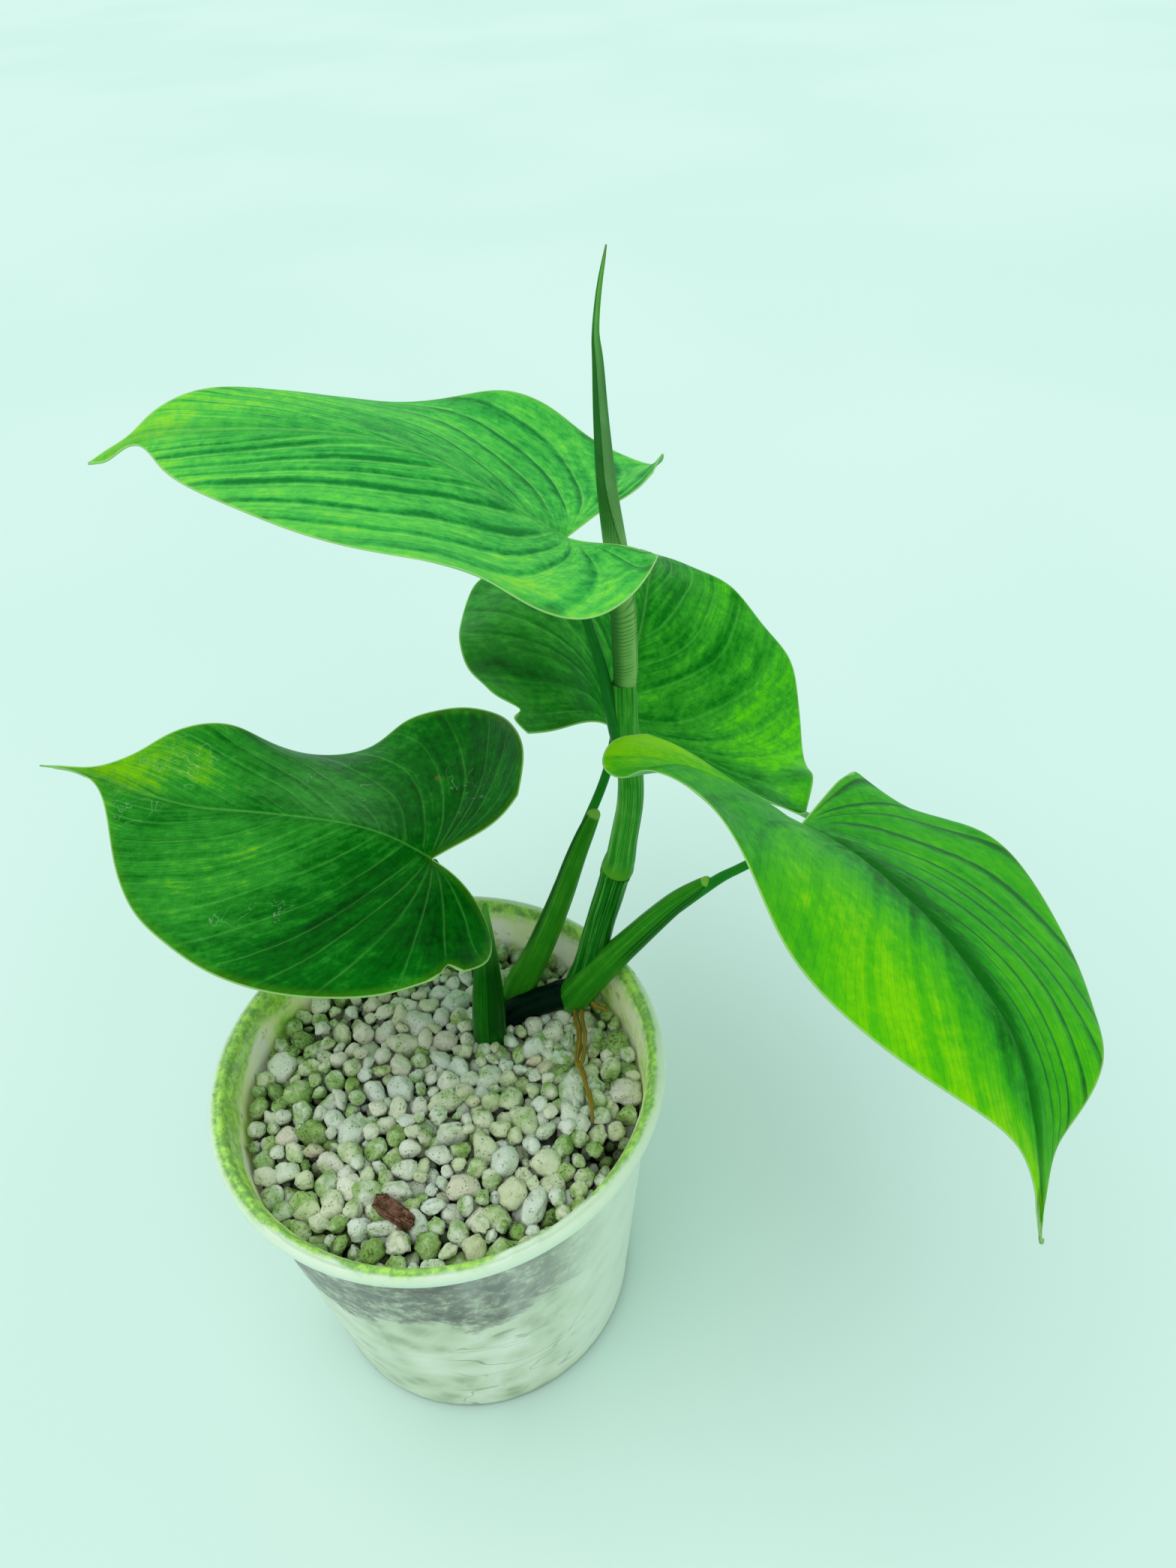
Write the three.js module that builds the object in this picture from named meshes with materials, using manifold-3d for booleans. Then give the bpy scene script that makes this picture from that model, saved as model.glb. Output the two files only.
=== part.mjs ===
import * as THREE from 'three';
import { mergeVertices } from 'three/addons/utils/BufferGeometryUtils.js';
import Module from 'manifold-3d';

// Potted philodendron, millimetres, +Z up. The origin is the centre of the pot's flat base.

// ---- pot -------------------------------------------------------------------
const RIM_RADIUS = 50;        // outside of the rolled lip
const POT_HEIGHT = 90;
const BASE_RADIUS = 39;
const BODY_TOP_RADIUS = 47;   // outside of the wall just under the lip
const WALL = 1.25;
const FLOOR = 2.2;
const POT_SEGMENTS = 44;

// ---- gravel ----------------------------------------------------------------
const BED_TOP = 74.2;         // mean level of the packed pumice
const BED_BUMP = 0.5;
const STONE_MIN = 3.0;        // radii of the loose pumice stones on top
const STONE_MAX = 4.3;
const STONE_COUNT = 22;

// ---- plant -----------------------------------------------------------------
const BLADE = 0.8;            // leaf blade thickness
const GAP = 0.3;              // clearance left between neighbouring pieces

// Centre lines of the round members: x, y, z, radius.
const RHIZOME = [[8.8, 18.9, 74.2, 2.7], [15.0, 20.3, 78.3, 3.1], [21.1, 21.5, 80.2, 3.2], [26.6, 22.3, 81.2, 3.5], [28.6, 22.7, 81.4, 3.3]];
const MAIN_STEM = [[32.6, 22.9, 87.0, 3.4], [34.5, 23.6, 91.6, 3.5], [37.5, 24.4, 103.5, 3.3], [39.6, 25.0, 110.9, 3.25], [41.75, 25.4, 118.9, 3.35]];
const UPPER_SHEATH = [[41.98, 25.5, 119.7, 3.45], [42.35, 25.5, 121.1, 3.5], [42.65, 25.5, 122.3, 3.35], [43.1, 25.5, 124.1, 3.2], [43.9, 25.6, 129.4, 2.95], [45.1, 25.8, 136.3, 2.8], [45.6, 26.0, 141.0, 2.75], [45.7, 26.2, 147.0, 2.6], [45.2, 26.3, 156.4, 2.5], [45.0, 26.3, 163.1, 2.5], [45.0, 26.2, 169.3, 2.45]];
const PETIOLE_TOP_LEFT = [[43.9, 25.6, 154.0, 1.6], [43.1, 25.5, 158.6, 1.5], [42.0, 25.4, 166.2, 1.25], [40.8, 25.3, 174.6, 1.1], [38.8, 25.2, 184.2, 0.95], [36.9, 25.0, 194.5, 0.8], [36.2, 25.0, 200.2, 0.75]];
const SPEAR = [[45.2, 26.1, 170.4, 2.3], [45.3, 26.0, 174.0, 2.4], [45.2, 25.6, 183.5, 2.4], [45.0, 25.0, 190.6, 2.3], [44.1, 23.8, 201.5, 2.1], [43.2, 22.5, 212.0, 1.8], [42.8, 21.8, 220.0, 1.5], [42.6, 21.4, 227.3, 1.2], [42.5, 21.2, 234.2, 0.9], [42.4, 21.1, 238.2, 0.55], [43.1, 21.0, 243.8, 0.42], [43.9, 20.8, 247.8, 0.3], [44.4, 20.6, 250.2, 0.12]];
const PETIOLE_RIGHT = [[29.9, 21.2, 78.6, 3.6], [31.3, 21.2, 83.6, 4.1], [36.0, 21.0, 90.4, 3.7], [42.3, 20.0, 99.5, 3.1], [48.4, 19.0, 108.2, 2.8], [54.1, 18.0, 115.9, 2.6], [58.8, 17.1, 121.1, 2.2], [62.0, 16.2, 124.9, 1.5]];
const PETIOLE_RIGHT_END = [[55.5, 17.6, 116.6, 1.3], [62.4, 16.0, 124.2, 1.05], [65.6, 15.0, 127.4, 0.95], [70.6, 13.5, 132.4, 0.92], [75.3, 11.9, 138.6, 0.9], [77.6, 10.8, 142.3, 0.8]];
const PETIOLE_REAR = [[14.6, 25.6, 71.5, 3.6], [15.9, 25.9, 77.0, 3.8], [18.1, 26.5, 82.9, 3.7], [22.7, 29.0, 90.9, 3.2], [28.7, 33.0, 103.4, 2.7], [32.4, 36.0, 112.2, 2.4], [35.6, 38.9, 118.6, 2.0], [38.4, 41.0, 123.4, 1.2]];
const PETIOLE_REAR_END = [[31.6, 36.0, 111.0, 1.3], [35.2, 39.6, 118.8, 1.15], [38.2, 42.6, 124.2, 1.1], [41.3, 46.4, 130.0, 1.05], [43.0, 50.4, 134.4, 0.95], [43.7, 52.7, 136.0, 0.85]];
const PETIOLE_LOW_LEFT = [[9.2, 15.6, 71.0, 3.6], [9.6, 15.2, 76.0, 4.0], [10.6, 14.6, 87.9, 3.8], [11.1, 16.0, 95.5, 3.3], [11.5, 17.0, 102.2, 2.7], [12.1, 18.0, 109.9, 1.8], [12.9, 19.0, 118.0, 0.6]];
const PETIOLE_LOW_LEFT_END = [[10.2, 16.6, 96.0, 1.5], [8.4, 18.6, 110.6, 1.15], [5.8, 20.4, 121.0, 1.0], [3.6, 21.6, 128.6, 0.85]];
const ROOT_FRONT = [[30.1, 19.4, 78.6, 0.65], [30.4, 15.8, 81.0, 0.65], [30.8, 12.2, 81.4, 0.65], [30.8, 7.0, 81.2, 0.65], [30.6, 2.0, 81.0, 0.62], [31.4, -0.5, 80.9, 0.6], [32.2, -3.9, 80.8, 0.6], [33.0, -8.6, 79.6, 0.5]];
const ROOT_SIDE = [[32.1, 18.9, 79.6, 0.5], [32.2, 15.9, 81.6, 0.52], [32.6, 11.7, 81.9, 0.52], [32.6, 8.1, 82.0, 0.5], [32.3, 3.8, 82.2, 0.46], [32.1, 1.2, 82.6, 0.4]];
const ROOT_STUB = [[34.0, 18.9, 82.6, 0.6], [35.0, 17.9, 81.9, 0.55], [36.6, 17.2, 81.6, 0.5], [38.2, 16.6, 81.2, 0.38]];

// Blade surfaces: 17 rows from the notch at the stalk to the tip, each row running
// from one margin over the midrib (sixth point) to the other margin.
const NETS = {
  leaf_low_left: [
    [22.2,26.8,142.3, 19.3,26,138.6, 15.7,25,135.7, 11.5,24,133.6, 7.2,23,131.9, 2.9,21.7,130.3, 6.2,18.2,130.7, 9.3,14.5,130.5, 12,10.6,129.5, 14.1,6.7,127.4, 15.3,2.8,124.9],
    [23.7,35.6,147.1, 20.8,33.1,142.2, 17.5,30.5,137.7, 13.1,27.7,134.4, 8.1,24.8,132.1, 2.9,21.7,130.3, 5.7,16.2,131, 8.2,10.5,130.8, 10.3,4.7,129.8, 12.1,-1.1,128.6, 14.8,-6.6,128.9],
    [21,45.5,146.7, 19.1,40.9,141.9, 16.2,36.1,137.7, 12.4,31.3,134.2, 7.9,26.5,132, 2.9,21.7,130.3, 4.4,15,131.2, 5.4,8.1,131.5, 6.1,1.1,131.5, 6.9,-5.8,132.1, 7.7,-12.7,133.1],
    [16.7,54.7,142.9, 15.2,47.9,139.7, 13.5,41.3,136.1, 10.7,34.7,133.5, 7.1,28.1,131.7, 2.9,21.7,130.3, 2.7,14.2,131.5, 1.8,6.6,132.2, 0.6,-0.9,132.9, -0.8,-8.5,133.6, -2.6,-16,133.3],
    [9.8,61.7,139.6, 10.5,53.6,136.8, 10.1,45.5,134.6, 8.8,37.5,132.5, 6.3,29.5,131.6, 2.9,21.7,130.3, 1.1,13.6,131.9, -1.5,5.7,132.7, -4.7,-1.9,133.6, -8.6,-9.4,133.7, -13,-16.6,133.8],
    [1.9,66.5,135.6, 4.3,57.8,133.9, 5.6,49,132.3, 5.3,40,131.5, 3.8,31.1,130.9, 1.3,22.4,131.2, -1.9,14,132.4, -6,6,133.4, -10.9,-1.5,133.8, -16.5,-8.5,133.9, -22.9,-15,134],
    [-6.9,69,130.7, -3.3,60.3,130, -1.3,51.2,129.9, -0.6,42,130.1, -1,32.8,131.1, -2.1,23.8,133, -6.7,15.6,133.4, -12,8,133.8, -18.1,1,133.9, -24.8,-5.3,133.7, -32.3,-11,133.4],
    [-15.9,68.8,124.1, -12.5,60.7,126.8, -9.8,52.2,128.1, -8.2,43.4,129.8, -7.4,34.6,132, -7.3,25.8,134.9, -12.9,18.3,134.4, -19.1,11.4,134.1, -25.8,5.3,133.7, -33.1,-0.2,133.2, -41.1,-5,132.3],
    [-27.6,67.5,123.5, -23.1,60.6,126.1, -19.7,52.9,128.4, -17.1,44.9,130.6, -15.5,36.7,133.1, -14.7,28.4,135.9, -20.6,21.7,134.9, -27.1,15.8,134, -34.2,10.6,133.4, -41.7,6.2,132.4, -49.7,2.5,131.9],
    [-38.2,66.5,128.5, -33.3,60.4,129.8, -29.5,53.5,130.8, -26.5,46.3,132.3, -24.4,38.8,133.9, -23,31.1,135.8, -28.9,25.7,134.7, -35.4,20.9,133.7, -42.2,16.9,132.7, -49.6,13.7,132.1, -57.3,11,131.2],
    [-46.6,64.4,137.1, -43.2,58.8,135, -39.6,53,134.2, -36.6,47,133.9, -34.1,40.7,134.4, -32.2,34.2,135, -37.8,30.3,134, -43.6,27,132.9, -49.9,24.4,132.4, -56.4,22.5,131.6, -63.3,21.3,131.3],
    [-56.8,59.5,140.2, -53.1,56,137.9, -49.9,51.8,136.2, -47,47.4,134.9, -44.4,42.7,133.8, -42.1,37.7,133.7, -46.9,35.4,132.7, -51.9,33.6,132.6, -57,32.3,132.2, -62.3,31.6,132.2, -67.6,31.7,131.4],
    [-64.9,55.1,138.4, -61.9,52.8,137.5, -59.2,50.3,136.3, -56.7,47.4,135, -54.4,44.4,133.9, -52.2,41.2,132.6, -55.8,40.5,133, -59.5,40,132.9, -63.1,39.8,133.3, -66.8,40,133.1, -70.5,40.4,133.4],
    [-72.3,52.3,137.3, -70,51.3,136.6, -67.8,49.9,136.1, -65.8,48.3,135.4, -63.9,46.6,134.6, -62.1,44.7,134, -64.6,44.9,134, -67,45.3,134.6, -69.4,45.9,134.6, -71.7,46.5,135.2, -74,47.3,135.3],
    [-77.9,52.1,137, -76.4,51.6,137, -75,51,136.5, -73.6,50.2,136.2, -72.2,49.3,135.8, -70.9,48.5,135.4, -72.5,48.6,135.7, -73.9,49.2,135.7, -75.4,49.6,136.2, -76.9,50.2,136.2, -78.5,50.5,136.6],
    [-82.9,52.5,137.5, -82,52.4,137.2, -81.2,52.3,137.3, -80.5,51.9,137.1, -79.8,51.5,136.8, -79,51.3,136.8, -79.8,51.4,136.7, -80.6,51.5,137, -81.5,51.7,136.9, -82.3,51.8,137.2, -83.1,52,137.1],
    [-87.5,53,137.6, -87.5,53,137.6, -87.5,53,137.6, -87.5,53,137.6, -87.5,53,137.6, -87.5,53,137.6, -87.5,53,137.6, -87.5,53,137.6, -87.5,53,137.6, -87.5,53,137.6, -87.5,53,137.6],
    ],
  leaf_top_left: [
    [51.9,35.8,207.8, 49,33.5,206.2, 45.8,31.4,205.2, 42.4,29.4,204.4, 39.2,27.3,203.3, 36,25.1,202.1, 38.8,22.3,202.7, 41.7,19.7,203.6, 44.6,17,204.6, 47.4,14.3,205.2, 50.2,11.3,205.2],
    [54.4,44.8,207, 51.5,40.5,205.4, 47.8,36.5,204.4, 43.8,32.8,203.9, 39.8,29,203.2, 36,25.1,202.1, 39,20.5,203, 42,16.1,204.4, 44.9,11.5,205.3, 47.7,6.8,206.4, 49.7,3,209.8],
    [54,51.9,201.6, 50.2,46.7,202.5, 46.8,41.2,202.8, 43.3,35.8,203, 39.6,30.5,202.8, 36,25.1,202.1, 38.3,19.2,203.4, 40.5,13.2,204.7, 42.4,7.1,205.7, 43.9,1.1,207.5, 45.7,-5,209],
    [48.1,58.5,200.7, 46.2,51.7,200.9, 43.9,44.9,201.7, 41.5,38.3,202.3, 38.8,31.7,202.5, 36,25.1,202.1, 37.2,18.3,203.7, 38,11.4,205, 38.3,4.4,206.3, 38.4,-2.6,207.4, 38.3,-9.8,208],
    [41,63,203.4, 40.9,55.3,202.3, 40.3,47.7,201.9, 39.4,40.1,202.1, 37.9,32.7,202.6, 36,25.1,202.1, 36,17.7,204.1, 35.4,10.3,205.7, 34.1,3,207.3, 32.4,-4.3,209, 30.3,-11.2,211.7],
    [34.2,65.2,208.6, 35,57.7,205.3, 35.6,49.8,203.6, 35.8,41.8,202.9, 35.4,33.7,202.8, 34.4,25.5,203, 33.4,17.6,205, 31.6,10,207, 29,2.7,209.1, 26,-4.2,212, 23,-10.2,216.7],
    [25.5,66,212.1, 27.9,58.6,208.9, 29.5,50.8,206.5, 30.6,42.8,205.2, 31.2,34.6,204.7, 31.4,26.2,205, 29.2,18.5,207, 26.3,11.1,209.2, 22.8,4.1,211.7, 18.9,-2.2,215.2, 14.1,-8.1,218.8],
    [15.4,65.1,211.8, 19.4,58,211.4, 22.2,50.7,209.9, 24.3,43.1,208.6, 25.9,35.3,208, 27,27.3,208.1, 24,20,210.1, 20.2,13.3,212.2, 15.9,7,214.6, 10.8,1.2,217, 5,-4.1,219],
    [5.1,62.4,212.6, 9.9,56.5,213.3, 13.8,50,213.1, 16.8,43.1,212.6, 19.3,36,212.2, 21.2,28.6,212.3, 17.4,22.2,213.8, 13,16.2,215.4, 7.9,10.8,216.9, 2.3,5.9,218.2, -4,1.6,219.1],
    [-4.2,58.7,215.7, 0.7,53.8,215.9, 5,48.4,216.1, 8.7,42.6,216.1, 11.7,36.5,216, 14.3,30.1,216.2, 10,24.7,217, 5.2,19.8,217.8, -0.1,15.4,218.4, -5.8,11.6,218.7, -11.9,8.4,218.9],
    [-13,54.2,219.3, -8.3,50.5,219.2, -4,46.4,219.1, -0.3,41.8,219, 3,36.9,218.9, 5.9,31.6,219.1, 1.5,27.4,219.2, -3.2,23.7,219.2, -8.2,20.6,219.1, -13.6,18.1,218.6, -19.2,16.1,218],
    [-21,50,222.3, -16.9,47.3,221.7, -13,44.3,221.3, -9.6,41,220.9, -6.4,37.2,220.6, -3.7,33.1,220.5, -7.6,30.2,220.1, -11.8,27.7,219.7, -16.2,25.7,219.1, -20.8,24.2,218.4, -25.5,23.2,217.3],
    [-27.8,46.1,223.3, -24.5,44.2,222.6, -21.5,42.2,222, -18.6,39.9,221.6, -15.8,37.5,221.2, -13.3,34.8,220.8, -16.5,33.1,220.4, -19.9,31.7,219.7, -23.3,30.6,219.1, -26.8,29.8,218.2, -30.5,29.5,217.4],
    [-33.9,42.8,221.6, -31.5,41.9,221.3, -29.2,40.6,221.2, -27,39.3,220.9, -24.9,37.9,220.8, -22.9,36.5,220.6, -25.2,35.9,220.1, -27.5,35.4,219.7, -29.8,35.1,219.1, -32.1,35.1,218.6, -34.2,35.5,217.8],
    [-38.1,41.3,218.7, -36.9,40.8,219.3, -35.5,40.3,219.3, -34.2,39.6,219.5, -32.9,38.9,219.5, -31.5,38.3,219.7, -32.9,38.1,219.3, -34.2,38,218.8, -35.5,38.4,218.5, -36.8,38.7,218, -38.2,38.7,217.6],
    [-42.3,40.3,216.7, -41.6,40.5,216.8, -41,40.2,217.1, -40.4,40.3,217.4, -39.8,39.9,217.5, -39.2,39.5,217.6, -39.8,39.3,217.1, -40.5,39.1,216.8, -41.1,38.8,216.3, -41.7,38.4,216, -42.3,38.1,215.5],
    [-46.5,39.9,214.5, -46.5,39.9,214.5, -46.5,39.9,214.5, -46.5,39.9,214.5, -46.5,39.9,214.5, -46.5,39.9,214.5, -46.5,39.9,214.5, -46.5,39.9,214.5, -46.5,39.9,214.5, -46.5,39.9,214.5, -46.5,39.9,214.5],
    ],
  leaf_right: [
    [96.7,41.7,128.9, 92.3,36.1,132.4, 88.4,29.7,135.4, 84.8,23.2,138.3, 81.2,16.7,141.2, 77.7,10.2,144.2, 71.1,13,148.8, 65.2,15.6,152.1, 59.6,18,155.7, 53.9,19.6,159.2, 48.8,20.2,161.6],
    [98.7,44.5,126.5, 94.8,37.9,131, 90.3,31,134.2, 86.1,24.1,137.6, 81.8,17.1,140.8, 77.7,10.2,144.2, 71.1,11.7,149.5, 64.7,13.4,153.6, 58.1,14.8,157.9, 50.8,15.2,162.4, 43.3,13.7,166.4],
    [103.5,40.6,123.8, 98.7,35.3,129.2, 93.3,29.4,133.4, 87.9,23.2,137.1, 82.7,16.8,140.6, 77.7,10.2,144.2, 71.2,10.4,150.1, 64.5,11.2,154.9, 57.2,11.5,159.5, 49.1,10.7,164.2, 40.3,7.7,168.4],
    [110.2,34.6,122.6, 103.7,31,128.1, 96.9,26.5,132.6, 90.3,21.5,136.6, 83.8,16,140.4, 77.7,10.2,144.2, 71.3,9.2,150.7, 64.5,8.9,156.1, 57.2,7.9,161, 49,6,165.6, 40,1.9,169],
    [117.5,28.7,124.1, 108.8,26.2,127.8, 100.6,23.4,132.2, 92.6,19.8,136.2, 85,15.4,140.2, 77.7,10.2,144.2, 71.5,8,151.2, 64.9,6.7,157.4, 58.1,4.4,163.1, 50.9,1.2,168.2, 43.1,-3.7,171.7],
    [122.7,19.6,126.8, 113.1,19.1,129.3, 104,17.8,132.8, 95.2,15.7,136.7, 86.8,12.6,140.5, 78.7,8.5,144.9, 71.7,6.9,151.8, 65.4,4.6,159.1, 59.2,1,166, 53.2,-3.4,172.7, 47.1,-9.5,177.8],
    [125.4,8,127.8, 116.2,9.5,131.1, 107.1,9.8,134.4, 98.1,9.3,137.9, 89.3,7.7,141.7, 80.9,5.4,146.3, 74.4,2.2,152.9, 68.6,-1.7,159.8, 63.4,-6.5,166.5, 58.3,-12.4,172.3, 54.9,-18.7,179.1],
    [126.1,-4.7,128.7, 118,-1.7,132.6, 109.6,0.3,136.3, 100.9,1.2,139.8, 92.3,1.2,143.5, 83.9,0.4,147.9, 78.1,-4.1,153.9, 73,-9.1,160.1, 68.3,-15.1,165.4, 64.2,-21.9,170.5, 60.4,-29.6,174.7],
    [125.6,-17.8,129.9, 118.8,-13.7,134.2, 111.5,-10.5,138.2, 103.7,-8.3,141.9, 95.7,-7,145.5, 87.5,-6.6,149.3, 82.5,-11.9,154.7, 78,-17.9,159.5, 73.8,-24.6,163.6, 69.5,-31.9,166.2, 64.9,-39.7,167.1],
    [123.4,-30,132.2, 118.1,-25.3,136.2, 112.1,-21.4,140, 105.6,-18.3,143.6, 98.6,-16.1,147, 91.2,-14.8,150.3, 87.1,-20.4,154.6, 83.4,-26.6,158.1, 79.6,-33.4,160.4, 75.9,-40.6,161.3, 72.4,-47.9,160.8],
    [119.6,-41.5,135.2, 115.6,-36.6,138.1, 111.3,-32.4,141.6, 106.4,-28.9,144.9, 100.9,-26.1,147.9, 95,-24,150.9, 91.9,-29.6,153.8, 89,-35.5,155.8, 86.3,-41.7,156.9, 83.7,-48.1,156.8, 81.6,-54.7,155.9],
    [112.8,-50.2,135.2, 111.3,-46.3,138.7, 109,-42.7,141.9, 106.2,-39.5,145, 102.7,-36.7,147.9, 98.5,-34.4,150.4, 96.4,-39.2,152, 94.5,-44.1,152.9, 92.6,-49.1,152.8, 91.2,-54.2,152.4, 90.3,-59.4,151.3],
    [106.6,-56.5,135.4, 106.5,-54,138.2, 105.8,-51.7,140.9, 104.7,-49.3,143.5, 103.1,-47,146, 101.4,-44.9,148.5, 100,-48.4,148.7, 98.6,-51.9,148.3, 97.7,-55.4,147.8, 96.8,-58.9,146.8, 96.4,-62.4,145.9],
    [102.9,-62.8,135.2, 102.8,-61.1,136.9, 102.7,-59.5,138.7, 102.6,-58,140.5, 102.4,-56.5,142.3, 101.8,-54.9,144, 101.1,-57,143.3, 100.7,-59.3,142.7, 100.1,-61.4,141.8, 99.7,-63.6,140.8, 99,-65.5,139.5],
    [100.8,-67.5,133.9, 100.7,-66.7,135, 100.6,-65.9,136, 100.6,-65.1,137, 100.6,-64.3,137.9, 100.7,-63.5,139, 100.7,-64.7,138.3, 100.3,-65.6,137.5, 100.4,-66.4,136.5, 100,-67,135.5, 99.9,-67.9,134.5],
    [101,-68.8,129.7, 101,-69.1,130, 101,-69.2,130.5, 100.9,-69.2,130.9, 100.8,-69.1,131.3, 100.6,-68.9,131.7, 100.4,-68.9,131.4, 100.6,-68.9,131, 100.5,-68.8,130.6, 100.8,-68.8,130.4, 101,-68.7,130.1],
    [103.5,-65.7,123.9, 103.5,-65.7,123.9, 103.5,-65.7,123.9, 103.5,-65.7,123.9, 103.5,-65.7,123.9, 103.5,-65.7,123.9, 103.5,-65.7,123.9, 103.5,-65.7,123.9, 103.5,-65.7,123.9, 103.5,-65.7,123.9, 103.5,-65.7,123.9],
    ],
  leaf_rear: [
    [26.1,20.3,163.5, 31,26.8,158.7, 36.3,33.4,154.9, 40.2,40,149.6, 42.4,46.6,143.3, 43.8,53.5,137.2, 51.5,47.9,138.4, 58.7,41.6,138.4, 65.6,34.9,137.6, 72.7,28.3,136.4, 80.6,22.6,135.3],
    [23.4,22.7,165.6, 28.7,28.5,160.5, 34.8,34.6,156.4, 39.5,40.8,150.9, 42.1,47,144, 43.8,53.5,137.2, 52,48.2,137.8, 59.7,42.1,137.1, 67.2,35.8,136, 74.6,29.5,134.1, 83.3,24.8,133.4],
    [18.5,31.3,166.7, 25.8,35.1,162.3, 33.1,39.2,158.3, 38.7,43.6,152.3, 41.7,48.3,144.7, 43.8,53.5,137.2, 52.2,49.1,136.6, 60.4,44.4,135.1, 68.4,39.7,132.9, 76.6,35.6,130.8, 84.2,31.3,126.8],
    [13.8,42.5,164, 23,43.9,163.2, 31.4,45.5,159.8, 37.8,47.5,153.6, 41.3,50.1,145.4, 43.8,53.5,137.2, 52.5,50.5,135.3, 61,47.7,132.7, 69.6,45.3,129.9, 78.5,43.5,127.2, 88,42.4,126.6],
    [11.4,54.1,162.4, 20.8,52.5,162.8, 30,51.5,160.8, 37.2,51.2,154.7, 41.1,51.7,146.1, 43.8,53.5,137.2, 52.9,52,134.4, 61.7,50.9,130.8, 70.7,50.7,127.2, 79.9,51.4,124.5, 89.3,52.6,121.7],
    [10.5,64.7,159.1, 19.4,61.2,162, 28.7,58.2,161.1, 36.6,56,155.7, 41.2,55,146.9, 43.9,55.6,137.2, 53.4,55,133.1, 62.6,55.4,129.1, 71.8,56.9,125.3, 81,59.3,121.7, 90.1,62.6,118.3],
    [10.4,74.9,156.1, 18.8,70.5,160.2, 28,66.3,160.7, 36.3,62.6,156.3, 41.5,60.2,147.7, 44.9,59.5,137.8, 54.1,60.2,132.6, 63.5,61.9,128.4, 72.8,64.6,124.5, 82.1,68.2,121, 91.4,72.7,118.4],
    [11.2,85.3,154.6, 19.5,80.1,158, 28.3,75.2,159.4, 36.8,70.5,156.3, 42.6,67,148.6, 46.6,65.2,139.1, 55.6,66.9,133.8, 64.8,69.5,129.6, 73.9,73,126, 83,77.3,123.4, 92.1,82.4,121.7],
    [14.2,95.8,153.5, 22.1,89.9,155.6, 30.2,84.7,157.1, 38.1,79.7,155.4, 44.4,75.4,149.4, 49.1,72.7,141.1, 57.6,74.8,136.6, 66,77.9,132.9, 74.5,81.7,130.1, 82.7,86.4,127.7, 91.1,91.7,126.6],
    [22.2,104.1,151.1, 28.1,98.7,153.1, 34.6,93.7,154.2, 41.2,88.9,153.4, 46.8,84.4,149.5, 51.7,81,143.6, 59,83.4,140.3, 66.1,86.5,137.6, 72.9,90.3,135.2, 79.7,94.9,133.6, 85.5,100.5,131.3],
    [31.8,112.2,148.3, 35.8,107.3,149.8, 40.3,102.8,150.8, 45.1,98.5,150.7, 49.7,94.4,149, 53.9,90.7,145.6, 59.6,93.2,143.6, 64.8,96.3,141.5, 69.7,100,139.8, 74.1,104.2,138, 78.6,108.8,137.8],
    [40.4,119.9,144.9, 42.8,115.9,146.2, 45.6,112.1,147.1, 48.9,108.5,147.5, 52.3,105,147.1, 55.8,101.7,146.3, 59.5,104.2,144.4, 62.9,107.2,142.9, 65.9,110.5,141.2, 68.7,114.2,139.9, 71.1,118.1,138.2],
    [47.4,126.5,141.5, 48.7,123.5,142.4, 50.3,120.7,143.3, 52.2,117.9,143.8, 54.5,115.2,144.1, 57,112.6,144, 58.7,115.1,142.9, 60.3,117.6,141.5, 61.9,120.2,140.3, 63.2,122.9,138.9, 64.4,125.8,137.7],
    [52.4,132.9,137.7, 52.9,131,138.5, 53.4,129,139.3, 54.1,127.1,140, 55,125.2,140.5, 56.1,123.4,141, 56.8,125.2,139.9, 57.5,127,139, 58,128.8,138, 58.5,130.8,137.1, 58.7,132.6,136.1],
    [54.9,138.5,134.3, 54.9,137.4,134.9, 54.9,136.3,135.6, 54.9,135.1,136.1, 54.8,134,136.7, 55.1,132.8,137.1, 55.4,134,136.6, 55.5,135.1,135.9, 55.7,136.2,135.4, 55.7,137.3,134.7, 55.7,138.5,134.1],
    [56.1,143.6,131.2, 56.2,143.1,131.6, 56.3,142.4,131.8, 56.4,141.8,132.2, 56.5,141.2,132.4, 56.1,140.9,132.9, 56.1,141.4,132.4, 56.3,142,132.1, 56.5,142.5,131.7, 56.9,143.1,131.4, 57.4,143.4,130.9],
    [60.1,147.5,127.8, 60.1,147.5,127.8, 60.1,147.5,127.8, 60.1,147.5,127.8, 60.1,147.5,127.8, 60.1,147.5,127.8, 60.1,147.5,127.8, 60.1,147.5,127.8, 60.1,147.5,127.8, 60.1,147.5,127.8, 60.1,147.5,127.8],
    ],
};

const LUGS = [[-31.1, -38.7], [19.9, -46.1]];   // two small raised marks on the lip

const COLOURS = {
  pot: ['#d5e4cf', 0.34, 0], gravel: ['#8f9a7c', 0.95, 0], stone: ['#c9cdb8', 0.92, 0], bark: ['#6e3f2c', 0.9, 0],
  rhizome: ['#10231c', 0.55, 0], stem: ['#1f6a22', 0.38, 0], sheath: ['#3f8a2c', 0.4, 0], petiole: ['#2f7d27', 0.4, 0],
  spear: ['#7fb56a', 0.5, 0], root: ['#9a6a32', 0.7, 0],
  leaf_low_left: ['#1f7323', 0.36, 0], leaf_top_left: ['#4aae35', 0.42, 0], leaf_right: ['#43a02f', 0.42, 0], leaf_rear: ['#2f8a27', 0.42, 0],
};

const wasm = await Module();
wasm.setup();

function geometry(vertices, triangles) {
  const g = new THREE.BufferGeometry();
  g.setAttribute('position', new THREE.BufferAttribute(new Float32Array(vertices.flat()), 3));
  g.setIndex(triangles.flat());
  return g;
}

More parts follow.
